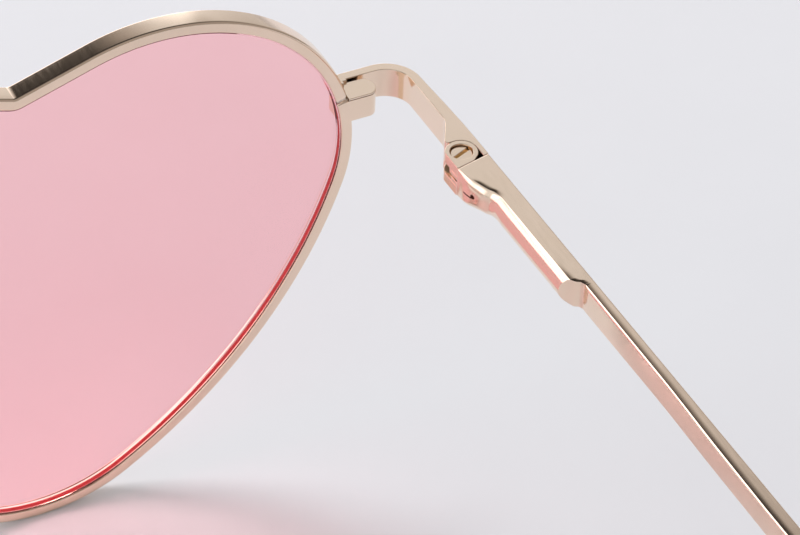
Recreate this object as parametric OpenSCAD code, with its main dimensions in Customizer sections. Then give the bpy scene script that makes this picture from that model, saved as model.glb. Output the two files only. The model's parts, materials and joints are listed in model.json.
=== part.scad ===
// Heart shaped sunglasses with a thin metal frame, flat tinted lenses and
// screwed temple hinges. The wearer looks towards -Y, with the temples running
// back along +Y. The wearer's right side is -X. The origin lies under the
// middle of the frame, on the surface that it stands on: the two heart tips
// and the two temple ends touch that surface.
//
// One side is drawn at +X, in three directions: u outwards from the middle of
// the frame, v backwards from the rear face of the rims, and z upwards from
// the lowest point of the lens opening. The other side is its mirror image.

/* [Heart outline of the lens opening] */
// Radius of the rounded tip
tip_r = 14.3; // [12.5:0.1:16]
// Radius of the long side between tip and shoulder
side_r = 50.5; // [47:0.5:54]
// Radius of the outer shoulder
shoulder_r = 15.75; // [14.5:0.05:17]
// Radius of the top of the lobe
lobe_r = 17.5; // [16:0.1:19.5]
// Radius of the rounded notch between the lobes
notch_r = 1.8; // [1.6:0.1:3]
// Direction of the outline where the tip ends, in degrees from level
tip_turn = 33; // [31:0.5:35]
// Direction where the long side ends
side_turn = 72; // [70:0.5:74]
// Direction where the shoulder ends
shoulder_turn = 154; // [150:0.5:158]
// Direction where the lobe ends and runs straight to the notch
lobe_turn = 198.5; // [196:0.5:201]

/* [Rims] */
// Width of the rim band, seen from the front
rim_w = 1.1; // [1:0.05:1.5]
// Depth of the rim from front face to rear face
rim_d = 1.9; // [1.7:0.1:2]
// Depth of the groove that holds the lens
groove_deep = 0.5; // [0.3:0.05:0.6]
// Width of the groove
groove_w = 0.8; // [0.7:0.05:0.9]
// Width of the cut through the rim, where it opens for the lens to go in
cut_w = 0.2; // [0.1:0.05:0.3]

/* [Lenses] */
// Thickness of the lens
lens_t = 1.4; // [1.2:0.1:1.6]
// How far the lens lies in front of the rims' rear face
lens_recess = 0.15; // [0.1:0.05:0.3]
// Distance between the two lens openings at the nose
nose_gap_w = 17.5; // [15:0.5:20]

/* [Closing blocks] */
// Length of the block outwards from the rim
block_len = 2.9; // [2.7:0.1:3.4]
// Depth of the block from front face to rear face
block_d = 2.2; // [2.1:0.05:2.4]
// Rounding of the outer corners
block_round = 1; // [0.5:0.1:1]
// How far the block lies below the top of the end piece, and above its foot
block_inset = 0.25; // [0.1:0.05:0.4]
// Thickness of the upper half's lip, which covers the lower half
lip_h = 0.2; // [0.15:0.05:0.3]
// Height of the upper half's leg, which stands in front of the lower half
leg_h = 1.2; // [1:0.05:1.4]
// Depth of that leg
leg_d = 1.4; // [1.3:0.05:1.5]
// Gap between the two halves
split_gap = 0.05; // [0.04:0.01:0.08]
// Diameter of the closing screw's shank
block_screw_dia = 0.8; // [0.6:0.05:0.9]
// Diameter of the closing screw's head
block_head_dia = 1.15; // [1.05:0.05:1.2]
// Thickness of the closing screw's head
block_head_h = 0.4; // [0.3:0.05:0.5]

/* [End pieces] */
// Height of the strip that forms the end piece, and of the hinge
hinge_h = 3; // [2.6:0.1:3.4]
// Height of the top of the hinge above the lowest point of the lens opening
hinge_top = 38.35; // [37.5:0.05:39]
// Thickness of the strip where it leaves the rim
strip_t = 0.85; // [0.7:0.05:1.1]
// Inner radius of the bend from the front to the side
bend_r = 2.45; // [2:0.05:3]
// How far the strip's heel lies over the front face of the rim
strip_lap = 1.1; // [0.8:0.05:1.2]
// How far the heel lies over the front face of the closing block
heel_len = 0.8; // [0.6:0.05:1]
// Gap between the closing block and the strip beyond the heel
strip_gap = 0.2; // [0.1:0.05:0.3]

/* [Hinges] */
// Distance of the hinge screw outwards from the lens opening
hinge_out = 6.3; // [5.9:0.1:6.8]
// Distance of the hinge screw behind the rear face of the rims
hinge_back = 10.2; // [9.4:0.1:12]
// Angle by which each temple spreads outwards
splay = 2.5; // [0:0.5:5]
// Radius of the fork's round front end
knuckle_r = 1.42; // [1.38:0.01:1.46]
// Distance from the hinge screw to the fork's flat inner side
fork_a = 1.35; // [1.25:0.01:1.37]
// Distance from the hinge screw to the outer face of the temple
outer_a = 1.95; // [1.9:0.05:2.2]
// Distance from the hinge screw to the inner face of the strip
strip_a = 0.75; // [0.6:0.05:0.9]
// How far in front of the hinge screw the strip starts to thicken
ramp_b = 4.2; // [3.6:0.1:4.8]
// How far inwards of the hinge screw the thickened root reaches
root_a = 0.85; // [0.75:0.05:0.95]
// Height of each of the fork's two plates
plate_h = 0.95; // [0.8:0.05:1.05]
// Radius of the tongue that turns inside the fork
tongue_r = 1.1; // [1.05:0.01:1.15]
// How far inwards of the hinge screw the tongue's neck reaches
neck_a = 0.6; // [0.5:0.05:0.65]
// Distance from the hinge screw back to the front face of the temple
butt_b = 1.55; // [1.5:0.05:1.8]
// Angle of the temple's front face
butt_angle = 10; // [5:0.5:14]
// Diameter of the hinge screw's shank
screw_dia = 1.2; // [1:0.05:1.3]
// Diameter of the hinge screw's head
head_dia = 1.84; // [1.7:0.02:1.9]
// Thickness of the hinge screw's head
head_h = 0.4; // [0.3:0.05:0.5]
// How deep the head lies below the top of the fork
head_sunk = 0.22; // [0.1:0.02:0.3]
// Width of the driver slot
slot_w = 0.32; // [0.25:0.01:0.4]
// Depth of the driver slot
slot_deep = 0.24; // [0.15:0.01:0.3]
// Height of the saw cut behind the tongue, on the inner side of the temple
kerf_h = 0.2; // [0.15:0.01:0.3]
// Length of the saw cut behind the temple's front face
kerf_len = 3; // [2:0.1:4]
// Length of the small pocket that ends the saw cut
pocket_len = 0.55; // [0.4:0.05:0.8]
// Height of that pocket
pocket_h = 1; // [0.6:0.1:1.4]
// How far outwards of the hinge screw the saw cut reaches
kerf_a = 0.3; // [0.1:0.05:0.5]

/* [Temples] */
// Distance from the hinge screw to the inner face of the thick length
thick_a = 0.2; // [0:0.05:0.4]
// Where the swell behind the hinge ends
swell_b = 6.6; // [5.5:0.1:8]
// Where the step down to the thin bar starts
step_b = 17.5; // [15:0.5:22]
// Length of that step
step_len = 1.2; // [0.8:0.1:2]
// Thickness of the thin bar just behind the step
thin_t = 0.95; // [0.8:0.05:1.1]
// Height of the thin bar just behind the step
thin_h = 2.8; // [2.5:0.1:2.9]
// Thickness of the bar where it has reached its full section
bar_t = 1.33; // [1.1:0.01:1.6]
// Height of the bar there
bar_h = 2.4; // [2:0.1:2.7]
// Distance behind the hinge where the bar has its full section
bar_b = 46; // [40:1:52]
// Distance behind the hinge where the bar starts to drop
level_b = 58; // [54:1:64]
// Radius of the gentle drop
drop_r = 150; // [120:5:180]
// Angle of the gentle drop
drop_angle = 8; // [6:0.5:10]
// Straight length between the gentle drop and the ear bend
back_len = 12; // [10:0.5:16]
// Radius of the ear bend
ear_r = 26; // [22:0.5:30]
// Angle of the temple's end below level
ear_angle = 46; // [42:0.5:50]

/* [Temple tips] */
// Height of the plastic tip
tip_h = 4; // [3.6:0.1:4.6]
// Thickness of the plastic tip
tip_t = 2.6; // [2.4:0.1:3.2]
// Length of the tip's sleeve in front of the ear bend
sleeve_lead = 9; // [6:0.5:9.5]
// Length of plastic beyond the end of the bar
tip_cover = 3; // [2:0.5:6]

/* [Bridge] */
// Radius of the arched bridge bar, along its middle
bridge_r = 16; // [14:0.5:20]
// Height of the bar, seen from the front
bridge_w = 1.7; // [1.4:0.1:2.2]
// Depth of the bar
bridge_d = 1.7; // [1.4:0.1:2]
// Height of the middle of the arch below the notch of the hearts
bridge_drop = 0.1; // [0:0.1:2]

/* [Nose pads] */
// Height of the pads above the lowest point of the lens opening
pad_z = 28.5; // [27.5:0.1:30]
// Diameter of the pad arm's wire
arm_dia = 1; // [0.9:0.05:1.2]
// Radius of the pad arm's bends
arm_r = 1.8; // [1.5:0.1:2.2]
// Straight length where the arm leaves the rim
arm_start = 0.6; // [0.4:0.1:1]
// Straight length between the two bends
arm_mid = 1; // [0.8:0.1:1.4]
// Straight length that ends at the pad box
arm_end = 2.6; // [2.4:0.1:3]
// Angle of the arm's first bend
arm_turn = 60; // [55:1:65]
// Angle by which the pads open towards the face
pad_splay = 25; // [20:1:30]
// Angle by which the pads open downwards
pad_tilt = 18; // [12:1:22]
// Length of a pad
pad_len = 13.2; // [12:0.2:14]
// Width of a pad
pad_w = 7.4; // [6.6:0.1:7.8]
// Thickness of a pad
pad_t = 2.4; // [2:0.1:2.6]
// Distance from the pad screw to the back of the pad
pad_off = 1.1; // [1:0.05:1.3]
// Width of the pad box
box_w = 2.3; // [2:0.1:2.5]
// Height of the pad box
box_h = 2; // [1.8:0.1:2.4]
// Thickness of the box's walls
box_wall = 0.55; // [0.45:0.05:0.6]
// Depth of the box behind the pad screw
box_back = 1.5; // [1.45:0.05:1.8]
// Diameter of the pad screw's shank
pad_screw_dia = 0.8; // [0.7:0.05:0.9]
// Diameter of the pad screw's head
pad_head_dia = 1.5; // [1.3:0.1:1.7]
// Thickness of the pad screw's head
pad_head_h = 0.4; // [0.3:0.05:0.5]
// Thickness of the stiff core plate inside a pad
core_t = 0.7; // [0.5:0.05:0.8]
// Length of that plate
core_len = 8; // [7:0.2:9]
// Width of that plate
core_w = 3.8; // [3.4:0.1:4.2]

/* [Fits] */
// Radial clearance of a turning fit
run_gap = 0.04; // [0.02:0.01:0.08]
// Clearance of a part that is seated and stays
seat_gap = 0.02; // [0.01:0.005:0.03]
// Gap between the lens and its groove
lens_gap = 0.06; // [0.04:0.01:0.1]
// Gap between the flat faces of the turning hinge plates
side_gap = 0.03; // [0.02:0.01:0.06]
// Radial gap round the hinge screw's sunk head
sink_gap = 0.08; // [0.05:0.01:0.1]

/* [Hidden] */
$fn = 96;

// How far a cut runs past the face that it cuts
over = 1;

// How much slimmer the pad arm's straight wire is than its bends, all round,
// and how far the straight wire reaches into them
wire_step = 0.02;
wire_lap = 0.1;

// Room round the tongue's neck, and how far the neck reaches into the strip
neck_room = 0.15;
neck_lap = 0.3;

metal = [0.86, 0.76, 0.67];
bright = [0.9, 0.78, 0.6];
tint = [0.93, 0.62, 0.68, 0.8];
clear_pad = [0.93, 0.91, 0.9, 0.8];
tip_plastic = [0.82, 0.66, 0.6];

// Angle between the corners that stand for a round edge, and between the
// points of a smooth change
facet_angle = 3;
ease_angle = 18;

// Shares of a size, where one form sets another
fork_out_share = 0.3;
inside_share = 0.9;
ease_front_share = 0.25;
thread_share = 0.6;

// Heart outline: four arcs on each side, each given by its radius and by the
// directions where it starts and ends. It starts at the tip, level.
arc_rs = [tip_r, side_r, shoulder_r, lobe_r];
arc_turns = [0, tip_turn, side_turn, shoulder_turn, lobe_turn];
function run(r, t0, t1) = [r * (sin(t1) - sin(t0)), r * (cos(t0) - cos(t1))];
function joint_pt(i) =
    i == 0 ? [0, 0] : joint_pt(i - 1) + run(arc_rs[i - 1], arc_turns[i - 1], arc_turns[i]);
function out_dir(t) = [sin(t), -cos(t)];
function arc_centre(i) = joint_pt(i) - arc_rs[i] * out_dir(arc_turns[i]);

// Angles from t0 to t1 in even steps
function steps(t0, t1) =
    let (n = ceil(abs(t1 - t0) / facet_angle)) [for (k = [0:n]) t0 + (t1 - t0) * k / n];

// The straight end of each lobe meets the other lobe on the middle line
notch_corner_z = joint_pt(4)[1] - joint_pt(4)[0] * tan(lobe_turn);
notch_centre = [0, notch_corner_z + notch_r / cos(lobe_turn - 180)];

half_w = arc_centre(2)[0] + shoulder_r;
lens_u = nose_gap_w / 2 + half_w;

// Distance of the shoulder's edge from the heart's middle line at height z
function shoulder_u(z, grow) =
    arc_centre(2)[0] + sqrt(pow(shoulder_r + grow, 2) - pow(z - arc_centre(2)[1], 2));

// Hinge screw axis, and the directions a (outwards) and b (backwards) of the
// frame that follows the spread temple
hinge_u = lens_u + half_w + hinge_out;
hinge_v = hinge_back;
hinge_foot = hinge_top - hinge_h;
tongue_h = hinge_h - 2 * plate_h - 2 * side_gap;
wall_a = knuckle_r + run_gap;

// Rear face of the strip, and where its heel steps forwards from the rim's
// front face to the block's
strip_v = -block_d - strip_gap;
step_u = lens_u + shoulder_u(hinge_foot, rim_w);

// Centre of the bend of the end piece
bend_v = strip_v + bend_r;
bend_u = hinge_u + (strip_a - bend_r + (bend_v - hinge_v) * sin(splay)) / cos(splay);
bend_b = (bend_u - hinge_u) * sin(splay) + (bend_v - hinge_v) * cos(splay);
bend_outer_a = strip_a + strip_t;

// Closing block heights
block_top = hinge_top - block_inset;
block_foot = hinge_foot + block_inset;
block_split = block_top - lip_h;
leg_foot = block_top - leg_h;
block_u = lens_u + shoulder_u(block_split, rim_w);
block_end = block_u + block_len;
block_screw_u = block_u + block_len / 2;
block_screw_v = -block_d + leg_d / 2;

// Where the temple's front face lies at distance a
function butt_at(a) = butt_b - a * tan(butt_angle);

// How far back the slot for the tongue runs on the fork's inner side, so that
// the neck has room when the temple is folded
slot_b = neck_a + neck_room;
hinge_mid = hinge_top - hinge_h / 2;

// Temple: middle line of the bar in the b, z plane
bar_z = hinge_top - bar_h / 2;
drop_end = [level_b + drop_r * sin(drop_angle), bar_z - drop_r * (1 - cos(drop_angle))];
ear_start = drop_end + back_len * [cos(drop_angle), -sin(drop_angle)];
ear_end = ear_start + ear_r * [sin(ear_angle) - sin(drop_angle), cos(ear_angle) - cos(drop_angle)];
floor_z = -rim_w;
// The tip's round end touches the surface that the frame stands on
tip_end_r = tip_h / 2;
tail_len = (ear_end[1] - floor_z - tip_end_r) / sin(ear_angle);
tail_end = ear_end + tail_len * [cos(ear_angle), -sin(ear_angle)];
bar_mid_a = outer_a - bar_t / 2;

// The frame's front and rear ends set where its middle lies
front_v = strip_v - strip_t;
tip_inner_a = bar_mid_a - tip_t / 2;
rear_v = hinge_v + (tail_end[0] + tip_end_r) * cos(splay) - tip_inner_a * sin(splay);
middle_v = (front_v + rear_v) / 2;

// Pad screw: the arm's wire leads to it by two bends in a level plane
arm_u = lens_u - shoulder_u(pad_z, rim_w / 2);
arm_p1 = [arm_u, arm_start];
arm_c1 = arm_p1 + [arm_r, 0];
arm_p2 = arm_c1 + arm_r * [-cos(arm_turn), sin(arm_turn)];
arm_dir2 = [sin(arm_turn), cos(arm_turn)];
arm_p3 = arm_p2 + arm_mid * arm_dir2;
arm_c3 = arm_p3 + arm_r * [-cos(arm_turn), sin(arm_turn)];
arm_p4 = arm_c3 + arm_r * [cos(pad_splay), -sin(pad_splay)];
arm_dir4 = [sin(pad_splay), cos(pad_splay)];
arm_p5 = arm_p4 + arm_end * arm_dir4;
pad_screw_at = arm_p5 + box_w / 2 * arm_dir4;
tab_t = box_w - 2 * box_wall - 2 * side_gap;
tab_r = pad_screw_dia;

// Places one side's drawing in the part's own frame
module on_side(side) {
    mirror([side == "right" ? 1 : 0, 0, 0])
        translate([0, -middle_v, -floor_z])
            children();
}

// Turns the drawing into the frame of the hinge: a outwards, b backwards
module at_hinge() {
    translate([hinge_u, hinge_v, 0])
        rotate([0, 0, -splay])
            children();
}

// Stands a flat drawing up, with its rear face at v and the given depth
module slab(v, depth) {
    translate([0, v, 0])
        rotate([90, 0, 0])
            linear_extrude(depth)
                children();
}

// Corners of the right half of the heart, grown outwards evenly, from the tip
// to the bottom of the notch
function heart_half(grow) = concat(
    [for (i = [0:3])
        for (t = steps(arc_turns[i], arc_turns[i + 1]))
            if (i == 3 || t < arc_turns[i + 1])
                arc_centre(i) + (arc_rs[i] + grow) * out_dir(t)],
    [for (t = steps(lobe_turn, 180)) notch_centre + (grow - notch_r) * out_dir(t)]
);

// Heart outline of the lens opening, grown outwards evenly
module heart(grow) {
    right = heart_half(grow);
    left = [for (i = [len(right) - 2:-1:1]) [-right[i][0], right[i][1]]];
    polygon(concat(right, left));
}

module rim(side) {
    color(metal)
        on_side(side)
            translate([lens_u, 0, 0])
                difference() {
                    slab(0, rim_d) heart(rim_w);
                    slab(over, rim_d + 2 * over) heart(0);
                    slab(-(rim_d - groove_w) / 2, groove_w) heart(groove_deep);
                    translate([half_w - 2 * rim_w, -rim_d - over, block_split - cut_w / 2])
                        cube([4 * rim_w, rim_d + 2 * over, cut_w]);
                }
}

module lens(side) {
    color(tint)
        on_side(side)
            translate([lens_u, 0, 0])
                union() {
                    slab(-lens_recess, lens_t) heart(-lens_gap);
                    slab(-(rim_d - groove_w) / 2 - lens_gap, groove_w - 2 * lens_gap)
                        heart(groove_deep - lens_gap);
                }
}

// Outline of the closing block from above, from the rim to its rounded end. In
// front of the rim it starts where the strip's heel steps forwards.
module block_plan() {
    start = block_u - rim_w;
    round_u = block_end - block_round;
    polygon(concat(
        [[start, 0], [start, -rim_d], [step_u, -rim_d], [step_u, -block_d]],
        [for (t = steps(-90, 0)) [round_u, block_round - block_d] + block_round * [cos(t), sin(t)]],
        [for (t = steps(0, 90)) [round_u, -block_round] + block_round * [cos(t), sin(t)]]
    ));
}

// Room that the upper half's leg takes from the lower half, grown by a gap
module leg_room(gap) {
    translate([0, -block_d - over, leg_foot - gap / 2])
        cube([2 * block_end, over + leg_d + gap / 2, block_top - leg_foot]);
}

// A length of the closing block, cut to fit round the rim
module block_body(z0, z1) {
    difference() {
        translate([0, 0, z0]) linear_extrude(z1 - z0) block_plan();
        translate([lens_u, 0, 0]) slab(over, rim_d + 2 * over) heart(rim_w + seat_gap);
    }
}

module closing_block_upper(side) {
    color(metal)
        on_side(side)
            difference() {
                block_body(leg_foot + split_gap / 2, block_top);
                translate([0, -block_d + leg_d - split_gap / 2, block_foot])
                    cube([2 * block_end, block_d, block_split + split_gap / 2 - block_foot]);
                translate([block_screw_u, block_screw_v, leg_foot - over])
                    cylinder(d = block_screw_dia + 2 * seat_gap, h = over + leg_h * thread_share);
            }
}

module closing_block_lower(side) {
    color(metal)
        on_side(side)
            difference() {
                block_body(block_foot, block_split - split_gap / 2);
                leg_room(split_gap);
                translate([block_screw_u, block_screw_v, block_foot - over])
                    cylinder(d = block_screw_dia + 2 * run_gap, h = hinge_h + 2 * over);
                translate([block_screw_u, block_screw_v, block_foot - over])
                    cylinder(d = block_head_dia + 2 * run_gap, h = over + block_head_h + side_gap);
            }
}

module closing_screw(side) {
    shank = leg_foot + leg_h * thread_share - side_gap - block_foot;
    color(bright)
        on_side(side)
            translate([block_screw_u, block_screw_v, block_foot])
                difference() {
                    union() {
                        cylinder(d = block_head_dia, h = block_head_h);
                        cylinder(d = block_screw_dia, h = shank);
                    }
                    translate([-block_head_dia, -slot_w / 2, -over])
                        cube([2 * block_head_dia, slot_w, over + slot_deep]);
                }
}

module bridge() {
    middle_z = notch_corner_z - bridge_drop - bridge_w / 2;
    color(metal)
        translate([0, -middle_v, -floor_z])
            difference() {
                slab(-(rim_d - bridge_d) / 2, bridge_d)
                    translate([0, middle_z - bridge_r])
                        intersection() {
                            difference() {
                                circle(bridge_r + bridge_w / 2);
                                circle(bridge_r - bridge_w / 2);
                            }
                            translate([-lens_u / 2, 0]) square([lens_u, 2 * bridge_r]);
                        }
                for (s = [-1, 1])
                    translate([s * lens_u, 0, 0])
                        slab(over, rim_d + 2 * over) heart(rim_w + seat_gap);
            }
}

// End piece strip seen from above, from the front of the rim round the bend
module strip_plan() {
    start = step_u - strip_lap;
    heel_end = block_u + heel_len;
    polygon([
        [start, -rim_d], [start, front_v], [bend_u, front_v], [bend_u, strip_v],
        [heel_end, strip_v], [heel_end, -block_d], [step_u, -block_d], [step_u, -rim_d]
    ]);
    translate([bend_u, bend_v])
        intersection() {
            difference() {
                circle(bend_r + strip_t);
                circle(bend_r);
            }
            polygon([
                [0, 0], [0, -2 * bend_r], [2 * bend_r, -2 * bend_r],
                2 * bend_r * [cos(splay), -sin(splay)]
            ]);
        }
}

// Side arm of the end piece in the hinge's frame, thickening to the hinge. It
// ends in a seat for the fork's round front and in a wall beside the fork.
module arm_plan() {
    seat_b = -(knuckle_r + run_gap);
    end_b = butt_at(outer_a) - side_gap;
    difference() {
        polygon([
            [strip_a, bend_b - side_gap], [bend_outer_a, bend_b - side_gap],
            [outer_a - (outer_a - bend_outer_a) * ease_front_share, bend_b / 2],
            [outer_a, bend_b * ease_front_share], [outer_a, end_b],
            [wall_a, butt_at(wall_a) - side_gap],
            [wall_a, 0], [0, 0], [0, seat_b], [-root_a, seat_b], [strip_a, -ramp_b]
        ]);
        circle(knuckle_r + run_gap);
    }
}

// Tongue of the end piece, which turns between the fork's plates
module tongue() {
    seat_b = -(knuckle_r + run_gap);
    union() {
        cylinder(r = tongue_r, h = tongue_h);
        linear_extrude(tongue_h)
            polygon([
                [-neck_a, seat_b - neck_lap], [tongue_r * inside_share, seat_b - neck_lap],
                [tongue_r * inside_share, 0], [-neck_a, 0]
            ]);
    }
}

module end_piece(side) {
    color(metal)
        on_side(side)
            difference() {
                union() {
                    translate([0, 0, hinge_foot]) linear_extrude(hinge_h) strip_plan();
                    at_hinge()
                        translate([0, 0, hinge_foot]) linear_extrude(hinge_h) arm_plan();
                    at_hinge()
                        translate([0, 0, hinge_foot + plate_h + side_gap]) tongue();
                }
                at_hinge()
                    translate([0, 0, hinge_foot - over])
                        cylinder(d = screw_dia + 2 * run_gap, h = hinge_h + 2 * over);
            }
}

// Rear part of the fork seen from above, which meets the temple's front face
module fork_plan() {
    out_a = knuckle_r * fork_out_share;
    polygon([
        [0, 0], [-knuckle_r, 0], [-knuckle_r, butt_at(-knuckle_r) - seat_gap],
        [out_a, butt_at(out_a) - seat_gap], knuckle_r * inside_share * [cos(45), sin(45)]
    ]);
}

// Saw cut on the inner side, with the small pocket that ends it
module kerf() {
    far_b = butt_b + kerf_len;
    translate([-2 * knuckle_r, 0, hinge_mid - kerf_h / 2])
        cube([2 * knuckle_r + kerf_a, far_b, kerf_h]);
    translate([-2 * knuckle_r, far_b - pocket_len, hinge_mid - pocket_h / 2])
        cube([2 * knuckle_r + kerf_a, pocket_len, pocket_h]);
}

module hinge_fork(side) {
    color(metal)
        on_side(side)
            at_hinge()
                difference() {
                    union() {
                        translate([0, 0, hinge_foot]) cylinder(r = knuckle_r, h = hinge_h);
                        translate([0, 0, hinge_foot]) linear_extrude(hinge_h) fork_plan();
                    }
                    translate([-fork_a - over, -2 * knuckle_r, hinge_foot - over])
                        cube([over, 4 * knuckle_r, hinge_h + 2 * over]);
                    translate([0, 0, hinge_foot + plate_h])
                        cylinder(r = tongue_r + run_gap, h = hinge_h - 2 * plate_h);
                    translate([-2 * knuckle_r, -2 * knuckle_r, hinge_foot + plate_h])
                        cube([4 * knuckle_r, 2 * knuckle_r, hinge_h - 2 * plate_h]);
                    translate([-2 * knuckle_r, -knuckle_r, hinge_foot + plate_h])
                        cube([2 * knuckle_r, knuckle_r + slot_b, hinge_h - 2 * plate_h]);
                    kerf();
                    translate([0, 0, hinge_foot - over])
                        cylinder(d = screw_dia + 2 * seat_gap, h = hinge_h + 2 * over);
                    translate([0, 0, hinge_top - head_sunk - head_h])
                        cylinder(d = head_dia + 2 * sink_gap, h = head_sunk + head_h + over);
                }
}

module hinge_screw(side) {
    head_top = hinge_top - head_sunk;
    color(bright)
        on_side(side)
            at_hinge()
                difference() {
                    union() {
                        translate([0, 0, hinge_foot]) cylinder(d = screw_dia, h = head_top - hinge_foot);
                        translate([0, 0, head_top - head_h]) cylinder(d = head_dia, h = head_h);
                    }
                    translate([0, 0, head_top - slot_deep])
                        rotate([0, 0, 20])
                            translate([-head_dia, -slot_w / 2, 0])
                                cube([2 * head_dia, slot_w, slot_deep + over]);
                }
}

// Line from one point to another that leaves and arrives along b
function ease_line(from, to) =
    [for (t = [0:ease_angle:180])
        [from[0] + (to[0] - from[0]) * (1 - cos(t)) / 2, from[1] + (to[1] - from[1]) * t / 180]];

// Temple seen from above in the hinge's frame
module temple_plan() {
    far_b = tail_end[0] + tip_h;
    polygon(concat(
        ease_line([-fork_a, butt_at(-fork_a)], [thick_a, swell_b]),
        ease_line([thick_a, step_b], [outer_a - thin_t, step_b + step_len]),
        [
            [outer_a - bar_t, bar_b], [outer_a - bar_t, far_b],
            [outer_a, far_b], [outer_a, butt_at(outer_a)]
        ]
    ));
}

// Direction along the bar and direction square to it, at an angle of drop
function along(t) = [cos(t), -sin(t)];
function square_to(t) = [sin(t), cos(t)];

// Lines beside the middle line of the bar, at an offset upwards
function drop_line(off) =
    [for (t = steps(0, drop_angle)) [level_b, bar_z - drop_r] + (drop_r + off) * square_to(t)];
function ear_line(off, cut) = concat(
    [for (t = steps(drop_angle, ear_angle))
        ear_start - ear_r * square_to(drop_angle) + (ear_r + off) * square_to(t)],
    [tail_end - cut * along(ear_angle) + off * square_to(ear_angle)]
);
function backwards(list) = [for (i = [len(list) - 1:-1:0]) list[i]];

// Bar seen from the side, in the b, z plane
module bar_side() {
    off = bar_h / 2;
    polygon(concat(
        [[0, hinge_top]], drop_line(off), ear_line(off, tip_cover),
        backwards(ear_line(-off, tip_cover)), backwards(drop_line(-off)),
        [
            [bar_b, hinge_top - bar_h], [step_b + step_len, hinge_top - thin_h],
            [step_b, hinge_foot], [0, hinge_foot]
        ]
    ));
}

// Sleeve seen from the side, with the given height, from in front of the ear
// bend to a cut end
function sleeve_line(off, lead, cut) = concat(
    [ear_start - lead * along(drop_angle) + off * square_to(drop_angle)], ear_line(off, cut)
);

// Outline of the tip, with its round end
module tip_side() {
    polygon(concat(
        sleeve_line(tip_end_r, sleeve_lead, 0),
        [for (t = steps(ear_angle, ear_angle + 180)) tail_end + tip_end_r * square_to(t)],
        backwards(sleeve_line(-tip_end_r, sleeve_lead, 0))
    ));
}

// Outline of the room for the bar inside the tip
module tip_bore_side() {
    off = bar_h / 2 + seat_gap;
    polygon(concat(
        sleeve_line(off, back_len, tip_cover - seat_gap),
        backwards(sleeve_line(-off, back_len, tip_cover - seat_gap))
    ));
}

// Takes a drawing in the b, z plane to the hinge's frame, from a0 to a1
module upright(a0, a1) {
    translate([a0, 0, 0])
        rotate([90, 0, 90])
            linear_extrude(a1 - a0)
                children();
}

module temple(side) {
    color(metal)
        on_side(side)
            at_hinge()
                difference() {
                    intersection() {
                        translate([0, 0, floor_z])
                            linear_extrude(hinge_top - floor_z + over) temple_plan();
                        upright(-2 * knuckle_r, outer_a + over) bar_side();
                    }
                    kerf();
                }
}

module temple_tip(side) {
    color(tip_plastic)
        on_side(side)
            at_hinge()
                difference() {
                    upright(bar_mid_a - tip_t / 2, bar_mid_a + tip_t / 2) tip_side();
                    upright(bar_mid_a - bar_t / 2 - seat_gap, bar_mid_a + bar_t / 2 + seat_gap)
                        tip_bore_side();
                }
}

// Bend of the pad arm's wire, about a centre in the level plane of the arm
module wire_bend(c, from, turn) {
    translate([c[0], c[1], pad_z])
        rotate([0, 0, from])
            rotate_extrude(angle = turn)
                translate([arm_r, 0])
                    circle(d = arm_dia);
}

// Straight wire in the level plane, from p along a direction. It is a little
// slimmer than the bends, and reaches into them at its lapped ends.
module wire_run(p, heading, length, lap0, lap1) {
    translate([p[0], p[1], pad_z])
        rotate([0, 0, heading])
            translate([-lap0, 0, 0])
                rotate([0, 90, 0])
                    cylinder(d = arm_dia - 2 * wire_step, h = length + lap0 + lap1);
}

module pad_arm(side) {
    color(metal)
        on_side(side)
            union() {
                wire_run([arm_u, seat_gap], 90, arm_start - seat_gap, 0, wire_lap);
                wire_bend(arm_c1, 180 - arm_turn, arm_turn);
                wire_run(arm_p2, 90 - arm_turn, arm_mid, wire_lap, wire_lap);
                wire_bend(arm_c3, -arm_turn, arm_turn - pad_splay);
                wire_run(arm_p4, 90 - pad_splay, arm_end - seat_gap, wire_lap, 0);
            }
}

// Frame of the pad: x outwards from the nose, y along the pad screw
module at_pad() {
    translate([pad_screw_at[0], pad_screw_at[1], pad_z])
        rotate([0, 0, -pad_splay])
            rotate([0, -pad_tilt, 0])
                children();
}

// Round bar along the pad screw's axis, from y0 to y1
module across(d, y0, y1) {
    translate([0, y1, 0])
        rotate([90, 0, 0])
            cylinder(d = d, h = y1 - y0);
}

module pad_box(side) {
    color(metal)
        on_side(side)
            at_pad()
                difference() {
                    translate([-tab_r, -box_w / 2, -box_h / 2]) cube([tab_r + box_back, box_w, box_h]);
                    translate([-tab_r - over, -box_w / 2 + box_wall, -box_h / 2 - over])
                        cube([over + 2 * tab_r + run_gap, box_w - 2 * box_wall, box_h + 2 * over]);
                    across(pad_screw_dia + 2 * seat_gap, -box_w / 2 - over, box_w / 2 + over);
                }
}

module pad_screw(side) {
    color(bright)
        on_side(side)
            at_pad()
                difference() {
                    union() {
                        across(pad_screw_dia, -box_w / 2, box_w / 2 + pad_head_h / 2);
                        across(pad_head_dia, box_w / 2, box_w / 2 + pad_head_h);
                    }
                    translate([-pad_head_dia, box_w / 2 + pad_head_h - slot_deep, -slot_w / 2])
                        cube([2 * pad_head_dia, slot_deep + over, slot_w]);
                }
}

// Flat oval standing across x, from x0 to x1, grown by a gap
module oval(x0, x1, length, width) {
    r = width / 2;
    translate([x0, 0, 0])
        rotate([90, 0, 90])
            linear_extrude(x1 - x0)
                union() {
                    for (s = [-1, 1])
                        translate([0, s * (length / 2 - r)]) circle(r);
                    translate([-r, -(length / 2 - r)]) square([width, length - width]);
                }
}

core_x = -pad_off - (pad_t - core_t) / 2;

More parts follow.
